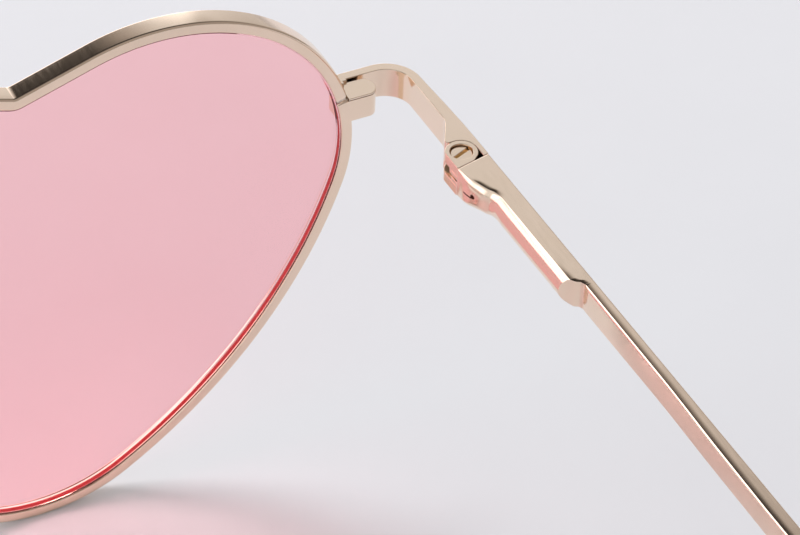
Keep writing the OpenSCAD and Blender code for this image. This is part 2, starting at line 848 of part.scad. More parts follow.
module pad_core(side) {
    color(clear_pad)
        on_side(side)
            at_pad()
                difference() {
                    union() {
                        oval(core_x - core_t, core_x, core_len, core_w);
                        across(2 * tab_r, -tab_t / 2, tab_t / 2);
                        translate([core_x, -tab_t / 2, -tab_r]) cube([-core_x, tab_t, 2 * tab_r]);
                    }
                    across(pad_screw_dia + 2 * run_gap, -box_w, box_w);
                }
}

module nose_pad(side) {
    color(clear_pad)
        on_side(side)
            at_pad()
                difference() {
                    oval(-pad_off - pad_t, -pad_off, pad_len, pad_w);
                    oval(core_x - core_t - seat_gap, core_x + seat_gap,
                        core_len + 2 * seat_gap, core_w + 2 * seat_gap);
                    translate([core_x, -tab_t / 2 - seat_gap, -tab_r - seat_gap])
                        cube([-core_x, tab_t + 2 * seat_gap, 2 * tab_r + 2 * seat_gap]);
                }
}

rim("right");  // rim_right
rim("left");  // rim_left
lens("right");  // lens_right
lens("left");  // lens_left
bridge();
closing_block_upper("right");  // closing_block_upper_right
closing_block_upper("left");  // closing_block_upper_left
closing_block_lower("right");  // closing_block_lower_right
closing_block_lower("left");  // closing_block_lower_left
closing_screw("right");  // closing_screw_right
closing_screw("left");  // closing_screw_left
end_piece("right");  // end_piece_right
end_piece("left");  // end_piece_left
hinge_fork("right");  // hinge_fork_right
hinge_fork("left");  // hinge_fork_left
hinge_screw("right");  // hinge_screw_right
hinge_screw("left");  // hinge_screw_left
temple("right");  // temple_right
temple("left");  // temple_left
temple_tip("right");  // temple_tip_right
temple_tip("left");  // temple_tip_left
pad_arm("right");  // pad_arm_right
pad_arm("left");  // pad_arm_left
pad_box("right");  // pad_box_right
pad_box("left");  // pad_box_left
pad_screw("right");  // pad_screw_right
pad_screw("left");  // pad_screw_left
pad_core("right");  // pad_core_right
pad_core("left");  // pad_core_left
nose_pad("right");  // nose_pad_right
nose_pad("left");  // nose_pad_left
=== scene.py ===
# %% [markdown]
# # Heart shaped sunglasses
# Fashion sunglasses with a thin rose gold frame and flat pink lenses. The picture looks
# from behind and above at the wearer's right hinge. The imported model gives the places;
# each of its nodes is replaced here by a finer surface with rounded edges, worked out
# from a few sizes, because polished metal shows every coarse facet.

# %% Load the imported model
import json
import math

import bpy
import numpy as np
from mathutils import Matrix, Vector


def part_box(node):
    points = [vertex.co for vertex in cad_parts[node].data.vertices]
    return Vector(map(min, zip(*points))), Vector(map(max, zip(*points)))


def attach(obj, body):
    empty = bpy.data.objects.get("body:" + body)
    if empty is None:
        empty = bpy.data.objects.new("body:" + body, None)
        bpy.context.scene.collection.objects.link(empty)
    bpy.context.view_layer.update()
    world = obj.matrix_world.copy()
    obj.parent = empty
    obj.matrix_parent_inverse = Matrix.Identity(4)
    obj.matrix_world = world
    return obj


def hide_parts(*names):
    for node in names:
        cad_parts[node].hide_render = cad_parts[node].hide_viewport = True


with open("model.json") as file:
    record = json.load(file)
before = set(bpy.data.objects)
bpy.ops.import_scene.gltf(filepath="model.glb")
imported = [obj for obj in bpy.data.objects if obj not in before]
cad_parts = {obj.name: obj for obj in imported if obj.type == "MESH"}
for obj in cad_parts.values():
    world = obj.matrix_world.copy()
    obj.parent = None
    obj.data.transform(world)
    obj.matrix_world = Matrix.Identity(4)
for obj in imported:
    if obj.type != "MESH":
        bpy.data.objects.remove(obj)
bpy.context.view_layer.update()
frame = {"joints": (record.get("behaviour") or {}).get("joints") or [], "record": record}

# %% [markdown]
# ## Sizes that several pieces share
# All sizes are in millimetres. The drawing has three directions: u outwards from the
# middle of the frame, v backwards from the rims' rear face, and z upwards from the lowest
# point of the lens opening. The left half is drawn, and the right one is its mirror image.
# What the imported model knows, such as the place of the hinge, is read from it, so that
# looks and solids can't drift apart.

# %% Shared sizes and places
MM = 0.001
SIDES = ("right", "left")
RIM_W, RIM_D, CUT_W = 1.1, 1.9, 0.2
HINGE_H, HINGE_TOP, SPLAY = 3.0, 38.35, 2.5
BLOCK_INSET, LIP_H = 0.25, 0.2
RUN_GAP, SIDE_GAP = 0.04, 0.03


def box_mm(node):
    """Lowest and highest corner of a node, in millimetres."""
    return [np.array(corner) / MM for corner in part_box(node)]


rim_low, rim_high = box_mm("rim_left")
LENS_U = (rim_low[0] + rim_high[0]) / 2
REAR_Y = rim_high[1]
BASE_Z = rim_low[2] + RIM_W
joint_at = {joint["name"]: np.array(joint["pos_m"]) / MM for joint in frame["joints"]}
HINGE_U = joint_at["temple_fold_left"][0]
HINGE_V = joint_at["temple_fold_left"][1] - REAR_Y
HINGE_FOOT = HINGE_TOP - HINGE_H
BLOCK_TOP, BLOCK_FOOT = HINGE_TOP - BLOCK_INSET, HINGE_FOOT + BLOCK_INSET
BLOCK_SPLIT = BLOCK_TOP - LIP_H
print(f"lens axis at u {LENS_U:.2f} mm, hinge at u {HINGE_U:.2f}, v {HINGE_V:.2f} mm")

# %% [markdown]
# ## Shells
# A mesh is a list of points and a list of faces. Every piece here is one or more
# closed shells, and a shell is a stack of rings: ring i holds the points p(i, j), and each
# quad joins p(i, j), p(i, j+1), p(i+1, j+1) and p(i+1, j). Boxes and cylinders cut by
# booleans could give the same forms, but rings leave long even strips of faces, which
# carry a clean reflection along the whole of a polished edge.

# %% Closed shells


def place(side, points):
    """Takes drawing points (u, v, z) in mm to the frame's metres, mirrored for the right."""
    out = np.array(points, float)
    out[:, 0] *= 1 if side == "left" else -1
    out[:, 1] += REAR_Y
    out[:, 2] += BASE_Z
    return out * MM


def shell(rings, loop=False, fan=False):
    """Closed shell over a stack of rings with the shape (rings, points, 3).

    With loop the last ring joins the first; otherwise both ends get a cap, which is one
    face, or with fan a ring of triangles round the mean of the end ring. Faces come as
    arrays of point numbers, one array for each number of corners.
    """
    rings = np.array(rings, float)
    n, m = rings.shape[:2]
    verts = rings.reshape(-1, 3)
    i, j = np.meshgrid(np.arange(n if loop else n - 1), np.arange(m), indexing="ij")
    ii, k = (i + 1) % n, (j + 1) % m
    faces = [np.stack([i * m + j, i * m + k, ii * m + k, ii * m + j], -1).reshape(-1, 4)]
    if not loop:
        for ring in (np.arange(m)[::-1], (n - 1) * m + np.arange(m)):
            if fan:
                centre = np.full(m, len(verts))
                verts = np.vstack([verts, verts[ring].mean(0)])
                faces.append(np.stack([ring, np.roll(ring, -1), centre], -1))
            else:
                faces.append(ring[None])
    return verts, faces


square = np.array([(0, 0), (1, 0), (1, 1), (0, 1)])
cube = shell([np.column_stack([square, np.full(4, z)]) for z in (0, 1)])
print("a test cube has", len(cube[0]), "points and", sum(map(len, cube[1])), "faces")

# %% [markdown]
# ## Inside and outside
# A face has a front side, and on a solid thing every front has to look outwards, or clear
# materials bend the light the wrong way. The normals of a mesh can be recalculated,
# but here the signed volume of each closed shell tells it for sure: it is negative when
# the faces look inwards, and mirroring a shell changes its sign.

# %% Signed volume


def volume(verts, faces):
    """Signed volume: a face with corners p adds p0 . sum(p(k) x p(k+1)) / 6."""
    total = 0.0
    for group in faces:
        p = verts[group]
        total += np.sum(p[:, 0] * np.cross(p, np.roll(p, -1, 1)).sum(1))
    return total / 6


print("a test cube of side 1 has the volume", volume(*cube))

# %% [markdown]
# ## Pieces
# A piece is an object that rides on a body of the model and stands for one of its nodes.
# Real metal has no sharp edges: each one is a thin bright line. Rounded edges could be
# drawn into every shell, but on plain prisms a Bevel modifier does it just as well and
# keeps the outline simple.

# %% Pieces
BEVEL_FROM = 35


def piece(name, side, shells, node, material, bevel=0):
    """Makes one object from shells, faces outwards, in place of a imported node.

    With bevel, in mm, the edges sharper than BEVEL_FROM degrees are rounded to that radius.
    """
    all_verts, all_faces = [], []
    start = 0
    for verts, faces in shells:
        verts = place(side, verts)
        inside_out = volume(verts - verts.mean(0), faces) < 0
        for group in faces:
            group = group[:, ::-1] if inside_out else group
            all_faces += (group + start).tolist()
        all_verts.append(verts)
        start += len(verts)
    mesh = bpy.data.meshes.new(name)
    mesh.from_pydata(np.vstack(all_verts), [], all_faces)
    mesh.polygons.foreach_set("use_smooth", [True] * len(mesh.polygons))
    mesh.materials.append(material)
    obj = bpy.data.objects.new(name, mesh)
    bpy.context.scene.collection.objects.link(obj)
    body = next(b for b, nodes in frame["record"]["behaviour"]["bodies"].items() if node in nodes)
    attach(obj, body)
    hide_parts(node)
    if bevel:
        rounding = obj.modifiers.new("rounded_edges", "BEVEL")
        rounding.width = bevel * MM
        rounding.segments = 3
        rounding.limit_method = "ANGLE"
        rounding.angle_limit = math.radians(BEVEL_FROM)
        rounding.harden_normals = True
    return obj


def tell(title, pieces):
    """Prints how many pieces were made, and the faces that each has before its bevel."""
    print(f"{title}: {len(pieces)} pieces,", [len(made.data.polygons) for made in pieces], "faces")


# %% [markdown]
# ## Outlines
# The small parts of a metal frame are cut from flat stock, so each starts as an outline in
# plan. It could be a curve with handles, but a list of corners with a radius for each says the
# same with fewer numbers.

# %% Outlines


def arc(centre, radius, start, end, count):
    """Points on an arc, with angles in degrees."""
    t = np.radians(np.linspace(start, end, count))
    return np.column_stack([centre[0] + radius * np.cos(t), centre[1] + radius * np.sin(t)])


def round_corners(corners, radii, per=6, hold=0.05):
    """Closed outline whose corners are arcs of the given radii.

    An arc of radius r in a corner with half angle h touches both sides at r / tan h from
    the corner. A point is held on each straight side just beyond the arc's ends, so that
    smooth shading leaves the sides flat.
    """
    corners = [np.array(c, float) for c in corners]
    out = []
    for i, corner in enumerate(corners):
        before = corners[i - 1] - corner
        after = corners[(i + 1) % len(corners)] - corner
        to_a, to_b = before / np.linalg.norm(before), after / np.linalg.norm(after)
        if radii[i] <= 0:
            out.append([corner])
            continue
        half = math.acos(np.clip(np.dot(to_a, to_b), -1, 1)) / 2
        reach = radii[i] / math.tan(half)
        both = (to_a + to_b) / np.linalg.norm(to_a + to_b)
        centre = corner + both * radii[i] / math.sin(half)
        start, end = corner + reach * to_a - centre, corner + reach * to_b - centre
        turn = math.atan2(start[0] * end[1] - start[1] * end[0], np.dot(start, end))
        angle = turn * np.arange(per + 1)[:, None] / per
        bend = centre + np.cos(angle) * start + np.sin(angle) * np.array([-start[1], start[0]])
        held = [corner + (reach + hold) * way for way in (to_a, to_b)]
        out += [held[:1], bend, held[1:]] if hold else [bend]
    return np.vstack(out)


print("a rounded square has", len(round_corners(square, [0.2] * 4)), "points")

# %% [markdown]
# ## From an outline to a solid
# A flat part is its outline raised to a height. Where another curve has to be met, as in
# a plate with a hole, the outline first gets more points. Subdividing the mesh could do
# that, but it would add points inside the faces too, where they are of no use.

# %% Prisms


def dense(outline, gap):
    """Closed outline with points added evenly on each side, a gap or a little more apart."""
    way = np.roll(outline, -1, 0) - outline
    count = np.maximum(1, (np.linalg.norm(way, axis=1) / gap).astype(int))
    start = np.repeat(np.arange(len(outline)), count)
    step = np.arange(count.sum()) - np.repeat(np.cumsum(count) - count, count)
    return outline[start] + way[start] * (step / count[start])[:, None]


def prism(outline, low, high):
    """Upright prism over a plan outline; its edges are rounded by the bevel."""
    outline = np.array(outline, float)
    return shell([np.column_stack([outline, np.full(len(outline), z)]) for z in (low, high)])


print("a square made dense has", len(dense(square, 0.1)), "points")

# %% [markdown]
# ## Sizes that change along a piece
# A temple is thick at the hinge and thin at the ear, and its sizes change smoothly where
# it wasn't milled. Such a size could be an animation curve, but a few measured values with
# a smooth curve through them are easier to read and to correct. The curve must not swing
# past its values, or the metal would show a bump that the real one doesn't have.

# %% Smooth size curves


def through(x, xs, ys):
    """Smooth curve through the points (xs, ys) that doesn't swing past them.

    Between two points it is a cubic, and its slope at a point is the harmonic mean of
    the slopes on both sides, or 0 where they differ in sign.
    """
    xs, ys = np.array(xs, float), np.array(ys, float)
    gap = np.diff(xs)
    rise = np.diff(ys) / gap
    slope = np.zeros(len(xs))
    slope[0], slope[-1] = rise[0], rise[-1]
    before, after = rise[:-1], rise[1:]
    same = before * after > 0
    slope[1:-1][same] = 2 * before[same] * after[same] / (before + after)[same]
    i = np.clip(np.searchsorted(xs, x) - 1, 0, len(xs) - 2)
    t = np.clip((np.asarray(x) - xs[i]) / gap[i], 0, 1)
    return (
        ys[i] * (1 + 2 * t) * (1 - t) ** 2
        + slope[i] * gap[i] * t * (1 - t) ** 2
        + ys[i + 1] * t**2 * (3 - 2 * t)
        - slope[i + 1] * gap[i] * t**2 * (1 - t)
    )


print("halfway from 0 to 1 the curve gives", through(0.5, [0, 1], [0, 1]))

# %% [markdown]
# ## Heart outline
# The lens opening is a heart, drawn as with a compass: each half has four tangent arcs,
# and a small one that bends the other way rounds the notch. An arc of radius R runs from
# heading t0 to t1, and its points are c + R n with n = (sin t, -cos t). Growing the
# outline by g moves each point along the same n, so the rim, its groove and the lens all
# share one path, and they fit each other everywhere.

# %% Heart path
TIP_R, SIDE_R, SHOULDER_R, LOBE_R, NOTCH_R = 14.3, 50.5, 15.75, 17.5, 1.8
TURNS = (0, 33, 72, 154, 198.5)


def normal_at(angle):
    """Outward normal of the heart where its heading is the given angle, in degrees."""
    t = np.radians(angle)
    return np.stack([np.sin(t), -np.cos(t)], -1)


def heart_path(step=1.5):
    """Points and outward normals of the lens opening, once round from the tip.

    Also gives the centre of the shoulder's arc, and the height of the notch's corner
    before it is rounded, where the lobe's last tangent meets the middle line.
    """
    point = np.zeros(2)
    points, normals = [], []

    def add(centre, radius, t0, t1):
        """An arc's points, centre + radius n, between two headings."""
        n = normal_at(np.linspace(t0, t1, math.ceil(abs(t1 - t0) / step) + 1))
        points.append(centre + radius * n)
        normals.append(n)

    for radius, t0, t1 in zip((TIP_R, SIDE_R, SHOULDER_R, LOBE_R), TURNS[:-1], TURNS[1:]):
        centre = point - radius * normal_at(t0)
        add(centre, radius, t0, t1)
        point = centre + radius * normal_at(t1)
        if radius == SHOULDER_R:
            shoulder = centre
    end = TURNS[-1]
    corner_z = point[1] - point[0] * math.tan(math.radians(end))
    notch = np.array([0, corner_z + NOTCH_R / math.cos(math.radians(end - 180))])
    add(notch, -NOTCH_R, end, 180)
    p, n = np.vstack(points), np.vstack(normals)
    keep = np.ones(len(p), bool)
    keep[1:] = np.linalg.norm(np.diff(p, axis=0), axis=1) > 1e-6
    p, n = p[keep], n[keep]
    mirror = np.array([-1, 1])
    path = np.vstack([p, p[-2:0:-1] * mirror])
    return path, np.vstack([n, n[-2:0:-1] * mirror]), shoulder, corner_z


HEART, HEART_N, SHOULDER_C, NOTCH_Z = heart_path()
heart_w, heart_h = 2 * HEART[:, 0].max(), HEART[:, 1].max()
print(f"heart: {len(HEART)} points, {heart_w:.2f} mm wide, {heart_h:.2f} mm high")

# %% [markdown]
# ## Along and across the heart
# Two questions come back for many pieces: how far out the rim's edge lies at some height,
# and where the points of a profile go when it is carried round the lens. Both could be
# measured on a finished mesh, but the arcs answer them exactly.

# %% Edge and sweep


def shoulder_u(z, grow):
    """Distance of the shoulder's edge from the heart's middle line at height z."""
    return SHOULDER_C[0] + math.sqrt((SHOULDER_R + grow) ** 2 - (z - SHOULDER_C[1]) ** 2)


def sweep(profile, path=HEART, normal=HEART_N):
    """Rings round the heart: profile points (g, v) become LENS_U + x + g n, v, z + g n."""
    g, v = np.array(profile, float).T[:, :, None]
    across = LENS_U + (path[:, 0] + g * normal[:, 0])
    return np.stack([across, v + 0 * across, path[:, 1] + g * normal[:, 1]], -1)


BLOCK_U = LENS_U + shoulder_u(BLOCK_SPLIT, RIM_W)
print(f"the rim's outer edge is at u {BLOCK_U:.2f} mm beside the closing block")

# %% [markdown]
# ## Noise and ranges
# A material is a small network of nodes, and each of these helpers adds one step to it. The
# noise could read UV coordinates, but then every piece would have to be unwrapped. It
# reads object coordinates, which are the frame's own metres, so a grain keeps its real
# scale on every piece, large or small.

# %% Noise and range steps


def join(tree, value, socket):
    """Links a value to a socket, or sets the socket where the value is a number or list."""
    if isinstance(value, bpy.types.NodeSocket):
        tree.links.new(value, socket)
    else:
        socket.default_value = value


def link_noise(tree, scale, detail, rough):
    """Noise in object coordinates; the scale along x, y and z is in features per metre."""
    coords = tree.nodes.new("ShaderNodeTexCoord")
    mapping = tree.nodes.new("ShaderNodeMapping")
    join(tree, scale, mapping.inputs["Scale"])
    tree.links.new(coords.outputs["Object"], mapping.inputs["Vector"])
    noise = tree.nodes.new("ShaderNodeTexNoise")
    noise.inputs["Scale"].default_value = 1.0
    noise.inputs["Detail"].default_value = detail
    noise.inputs["Roughness"].default_value = rough
    tree.links.new(mapping.outputs["Vector"], noise.inputs["Vector"])
    return noise.outputs["Fac"]


def link_range(tree, source, low_in, high_in, low_out, high_out):
    """Takes a value from one range to another, clamped."""
    mapped = tree.nodes.new("ShaderNodeMapRange")
    ends = {"From Min": low_in, "From Max": high_in, "To Min": low_out, "To Max": high_out}
    for socket, value in ends.items():
        join(tree, value, mapped.inputs[socket])
    tree.links.new(source, mapped.inputs["Value"])
    return mapped.outputs["Result"]


print("steps:", link_noise.__name__, link_range.__name__)

# %% [markdown]
# ## Colours, sums and bumps
# The other steps mix two colours, take a sum or a product of values, and turn a height
# into a bump. A fine grain could be modelled, but it is much smaller than a face, so the
# bump only tilts the normals that the light meets.

# %% Colour, sum and bump steps


def link_mix(tree, factor, colour_a, colour_b):
    """Mixes two colours by a linked factor."""
    mix = tree.nodes.new("ShaderNodeMix")
    mix.data_type = "RGBA"
    mix.inputs[6].default_value = (*colour_a, 1)
    mix.inputs[7].default_value = (*colour_b, 1)
    tree.links.new(factor, mix.inputs[0])
    return mix.outputs[2]


def link_math(tree, kind, first, second=0.0):
    """One sum, product or other step on two values, each a number or a linked socket."""
    node = tree.nodes.new("ShaderNodeMath")
    node.operation = kind
    for socket, value in zip(node.inputs, (first, second)):
        join(tree, value, socket)
    return node.outputs[0]


def link_bump(tree, height, strength, distance):
    """Normal from a height, with the bump's depth in millimetres."""
    bump = tree.nodes.new("ShaderNodeBump")
    join(tree, strength, bump.inputs["Strength"])
    bump.inputs["Distance"].default_value = distance * MM
    tree.links.new(height, bump.inputs["Height"])
    return bump.outputs["Normal"]


def new_material(name):
    """Material with nodes, its node tree and its shader."""
    material = bpy.data.materials.new(name)
    material.use_nodes = True
    return material, material.node_tree, material.node_tree.nodes["Principled BSDF"]


print("steps:", link_mix.__name__, link_math.__name__, link_bump.__name__)

# %% [markdown]
# ## One finish for every material
# Nothing real is one even colour. Plating is a little cloudy, and polishing leaves a fine
# grain that catches the light. All the materials of the glasses need these same two
# effects in other amounts, so they are one node group with inputs, placed in each material
# with its own values. Each material could also have its own copy of the nodes, but then a
# change in the effect would have to be made in every one of them.

# %% Finish group


def finish_group():
    """Group with a cloudy tone, and a fine grain that sets the roughness and the bump.

    Its inputs are the scales of clouds and grain in features per metre, the roughness of
    the smoothest and the roughest spots, and the strength of the bump.
    """
    group = bpy.data.node_groups.new("Fine finish", "ShaderNodeTree")
    sockets = {"Cloud Scale": "Vector", "Grain Scale": "Vector", "Smooth": "Float",
               "Rough": "Float", "Bump": "Float"}
    for label, kind in sockets.items():
        group.interface.new_socket(name=label, in_out="INPUT", socket_type=f"NodeSocket{kind}")
    for label, kind in {"Tone": "Float", "Roughness": "Float", "Normal": "Vector"}.items():
        group.interface.new_socket(name=label, in_out="OUTPUT", socket_type=f"NodeSocket{kind}")
    given = group.nodes.new("NodeGroupInput").outputs
    end = group.nodes.new("NodeGroupOutput")
    clouds = link_noise(group, given["Cloud Scale"], 3, 0.5)
    grain = link_noise(group, given["Grain Scale"], 4, 0.6)
    group.links.new(clouds, end.inputs["Tone"])
    roughness = link_range(group, grain, 0.3, 0.75, given["Smooth"], given["Rough"])
    group.links.new(roughness, end.inputs["Roughness"])
    group.links.new(link_bump(group, grain, given["Bump"], 0.02), end.inputs["Normal"])
    return group


FINE_FINISH = finish_group()
finish_items = FINE_FINISH.interface.items_tree
print("finish inputs:", [item.name for item in finish_items if item.in_out == "INPUT"])

# %% [markdown]
# ## Materials from the finish
# A material here is two tones of one colour, mixed by the clouds, and a finish. It could
# be set up by hand in the shader editor, but all eight follow the same pattern, so one
# function places the group, gives it its values and joins it to the shader.

# %% Material maker


def surface(name, finish, colour_a, colour_b, **values):
    """Material that mixes two tones of a colour, with its finish from the group.

    The finish is (clouds per mm, grain per mm along x, y and z, smooth, rough, bump).
    Other values go straight to the shader's sockets of that name.
    """
    material, tree, shader = new_material(name)
    group = tree.nodes.new("ShaderNodeGroup")
    group.node_tree = FINE_FINISH
    clouds, grain, smooth, rough, bump = finish
    group.inputs["Cloud Scale"].default_value = [clouds / MM] * 3
    group.inputs["Grain Scale"].default_value = [along / MM for along in grain]
    group.inputs["Smooth"].default_value = smooth
    group.inputs["Rough"].default_value = rough
    group.inputs["Bump"].default_value = bump
    colour = link_mix(tree, group.outputs["Tone"], colour_a, colour_b)
    tree.links.new(colour, shader.inputs["Base Color"])
    tree.links.new(group.outputs["Roughness"], shader.inputs["Roughness"])
    tree.links.new(group.outputs["Normal"], shader.inputs["Normal"])
    for socket, value in values.items():
        shader.inputs[socket.replace("_", " ")].default_value = value
    return material


print("the finish is placed by", surface.__name__)

# %% [markdown]
# ## Rose gold and screw gold
# The frame is nickel alloy, polished and plated with rose gold, which is a warm pinkish
# beige in the light. Metallic at 1 makes the base colour the colour of the reflection.
# The grain is stretched along the frame's length, as the polishing wheel leaves it. The
# screws are turned, not polished, so they are rougher, and their plating is yellower.

# %% Metals
POLISHED = (0.25, (3, 0.45, 3), 0.1, 0.19, 0.05)
TURNED = (0.6, (6, 6, 6), 0.14, 0.3, 0.12)
ROSE = ((0.87, 0.69, 0.54), (0.93, 0.75, 0.61))

rose_gold = surface("rose_gold", POLISHED, *ROSE, Metallic=1.0)
screw_gold = surface("screw_gold", TURNED, (0.95, 0.64, 0.28), (1.0, 0.74, 0.4), Metallic=1.0)
print("metals:", rose_gold.name, screw_gold.name)

# %% [markdown]
# ## The slot of the temple's spring, with painted shade
# Just behind the hinge a small slot with a round end opens into the spring's chamber in
# each temple. Its end is about half a millimetre wide. It could be cut into the mesh, but
# the barrel shaped face there would show the cut's faces, so the slot isn't cut: the shade
# in it is painted as a dark mask in the temple's material. Distances from a point say what
# lies in its line or its round end.

# %% Temple metal with the slot's painted shade
SLOT_X, SLOT_Y, SLOT_Z = 73.0, -55.3, 38.0
LINE_Y, LINE_Z, LINE_HALF, LINE_THIN, POCKET_R = -0.6, -0.2, 0.5, 0.075, 0.23
# The slot's shade is painted: inside the mask the base colour is multiplied by this dark brown.
SLOT_PAINTED_SHADE = (0.06, 0.02, 0.01)


def slot_shade_group():
    """Group that masks where the slot's shade is painted: 1 in a line and in a round pocket, and 0
    elsewhere.

    The line is where |y| and |z| from its middle are small, the pocket where
    sqrt(y^2 + z^2) from its middle is. Both count only inwards of |x| = SLOT_X.
    """
    group = bpy.data.node_groups.new("Spring slot painted shade", "ShaderNodeTree")
    group.interface.new_socket(name="Mask", in_out="OUTPUT", socket_type="NodeSocketFloat")
    end = group.nodes.new("NodeGroupOutput")
    coords = group.nodes.new("ShaderNodeTexCoord")
    split = group.nodes.new("ShaderNodeSeparateXYZ")
    group.links.new(coords.outputs["Object"], split.inputs[0])

    def off(axis, middle):
        """Distance from a middle along one axis."""
        away = link_math(group, "SUBTRACT", split.outputs[axis], middle * MM)
        return link_math(group, "ABSOLUTE", away)

    def under(value, limit):
        """1 where a distance is less than a limit in mm."""
        return link_math(group, "LESS_THAN", value, limit * MM)

    line = link_math(group, "MULTIPLY", under(off("Y", SLOT_Y + LINE_Y), LINE_HALF),
                     under(off("Z", SLOT_Z + LINE_Z), LINE_THIN))
    ends = (("Y", SLOT_Y), ("Z", SLOT_Z))
    squares = [link_math(group, "POWER", off(axis, at), 2.0) for axis, at in ends]
    pocket = under(link_math(group, "SQRT", link_math(group, "ADD", *squares)), POCKET_R)
    inner = under(link_math(group, "ABSOLUTE", split.outputs["X"]), SLOT_X)
    mask = link_math(group, "MULTIPLY", link_math(group, "MAXIMUM", line, pocket), inner)
    group.links.new(mask, end.inputs["Mask"])
    return group


def paint_slot_shade(material):
    """Paints the slot's shade: multiplies a material's base colour by a dark shade where the mask is
    1.
    """
    tree = material.node_tree
    shader = tree.nodes["Principled BSDF"]
    slot = tree.nodes.new("ShaderNodeGroup")
    slot.node_tree = slot_shade_group()
    blend = tree.nodes.new("ShaderNodeMix")
    blend.data_type, blend.blend_type = "RGBA", "MULTIPLY"
    blend.inputs[0].default_value = 1
    tree.links.new(shader.inputs["Base Color"].links[0].from_socket, blend.inputs[6])
    tree.links.new(link_mix(tree, slot.outputs["Mask"], (1, 1, 1), SLOT_PAINTED_SHADE), blend.inputs[7])
    tree.links.new(blend.outputs[2], shader.inputs["Base Color"])


# The temple's rose gold, with the slot's shade painted into it.
temple_gold_slot_shade = surface("temple_gold_slot_shade", POLISHED, *ROSE, Metallic=1.0)
paint_slot_shade(temple_gold_slot_shade)
print("slot at", (SLOT_X, SLOT_Y, SLOT_Z), "mm")

# %% [markdown]
# ## Pink lenses
# The lenses are flat acrylic, dyed pink through and through. Transmission with the index
# of plastic gives the tint and the clear reflection of the room, and a faint red glow is
# painted on by emission. A clear body casts a dark shadow in a path tracer unless light is
# bent through it, which takes many samples, so shadow rays pass through a tinted
# transparent shader instead. The ground edge is painted a deep red with a red glow of its
# own, in place of the light that runs a long way through the dye near the edge.

# %% Lens materials
OPTICAL = (0.15, (0.8, 0.8, 0.8), 0.0, 0.03, 0.004)
GROUND = (0.8, (8, 8, 8), 0.35, 0.55, 0.2)
LENS_SHADOW = (0.72, 0.56, 0.56)


def pass_light(material, tint):
    """Lets shadow rays through a clear material, tinted, by the Light Path node."""
    tree = material.node_tree
    path = tree.nodes.new("ShaderNodeLightPath")
    clear = tree.nodes.new("ShaderNodeBsdfTransparent")
    clear.inputs["Color"].default_value = (*tint, 1)
    mix = tree.nodes.new("ShaderNodeMixShader")
    tree.links.new(path.outputs["Is Shadow Ray"], mix.inputs[0])
    tree.links.new(tree.nodes["Principled BSDF"].outputs[0], mix.inputs[1])
    tree.links.new(clear.outputs[0], mix.inputs[2])
    tree.links.new(mix.outputs[0], tree.nodes["Material Output"].inputs["Surface"])


# The lens's faint red emission is a painted glow.
lens_pink = surface(
    "pink_lens", OPTICAL, (1.0, 0.61, 0.64), (1.0, 0.63, 0.66), Transmission_Weight=1.0,
    IOR=1.5, Emission_Color=(1.0, 0.1, 0.12, 1), Emission_Strength=0.015,
)
pass_light(lens_pink, LENS_SHADOW)
# The edge's deep red and its red emission are painted, in place of light that runs far through the
# dye near the edge.
lens_edge_painted_glow = surface(
    "lens_ground_edge_painted_red", GROUND, (0.62, 0.03, 0.035), (0.78, 0.06, 0.07),
    Emission_Color=(1.0, 0.05, 0.06, 1), Emission_Strength=0.06,
)
print("lens materials:", lens_pink.name, lens_edge_painted_glow.name)

# %% [markdown]
# ## Plastics
# The sleeves on the temples' ends are a translucent rose plastic, so a little light
# scatters below their surface. The pads are clear silicone on a stiff plate of milky
# plastic; the silicone is nearly all transmission, and its grain is soft.

# %% Plastics
MOULDED = (0.3, (2, 2, 2), 0.12, 0.28, 0.05)
PAD_SHADOW = (0.85, 0.85, 0.84)

tip_plastic = surface(
    "tip_plastic", MOULDED, (0.72, 0.47, 0.4), (0.8, 0.56, 0.48),
    Subsurface_Weight=0.3, Subsurface_Scale=0.002,
)
core_plastic = surface("core_plate", MOULDED, (0.7, 0.7, 0.66), (0.8, 0.8, 0.76))
silicone = surface(
    "clear_silicone", MOULDED, (0.93, 0.92, 0.9), (0.97, 0.96, 0.95),
    Transmission_Weight=0.85, IOR=1.41,
)
pass_light(silicone, PAD_SHADOW)
print("plastics:", tip_plastic.name, core_plastic.name, silicone.name)

# %% [markdown]
# ## Rims
# A rim is a wire of rectangular section with a groove for the lens, rolled round a former
# and cut at its outer side, where the closing block pulls it together. It could be a
# curve with a bevel profile; here the profile is carried round the heart in numpy, because
# the same path also makes the lens, and the cut needs exact ends. The outer face is
# crowned by a few hundredths, which softens its reflections as on rolled wire.

# %% Rims
GROOVE_DEEP, GROOVE_W, BAND_CROWN = 0.5, 0.8, 0.04
GROOVE_0 = (RIM_D - GROOVE_W) / 2
GROOVE_1 = GROOVE_0 + GROOVE_W


def split_path():
    """The heart path from just above the fine cut, over the lobes, to just below it."""
    ends = []
    for z in (BLOCK_SPLIT + CUT_W / 2, BLOCK_SPLIT - CUT_W / 2):
        cosine = (SHOULDER_C[1] - z) / SHOULDER_R
        n = np.array([math.sqrt(1 - cosine**2), -cosine])
        ends.append((SHOULDER_C + SHOULDER_R * n, n))
    outer = (HEART[:, 0] > SHOULDER_C[0]) & (HEART[:, 1] > BLOCK_SPLIT + CUT_W / 2)
    first = np.where(outer)[0][0]
    points, normals = np.roll(HEART, -first, 0), np.roll(HEART_N, -first, 0)
    keep = ~((points[:, 0] > SHOULDER_C[0]) & (np.abs(points[:, 1] - BLOCK_SPLIT) < CUT_W / 2))
    return (
        np.vstack([ends[0][0], points[keep], ends[1][0]]),
        np.vstack([ends[0][1], normals[keep], ends[1][1]]),
    )


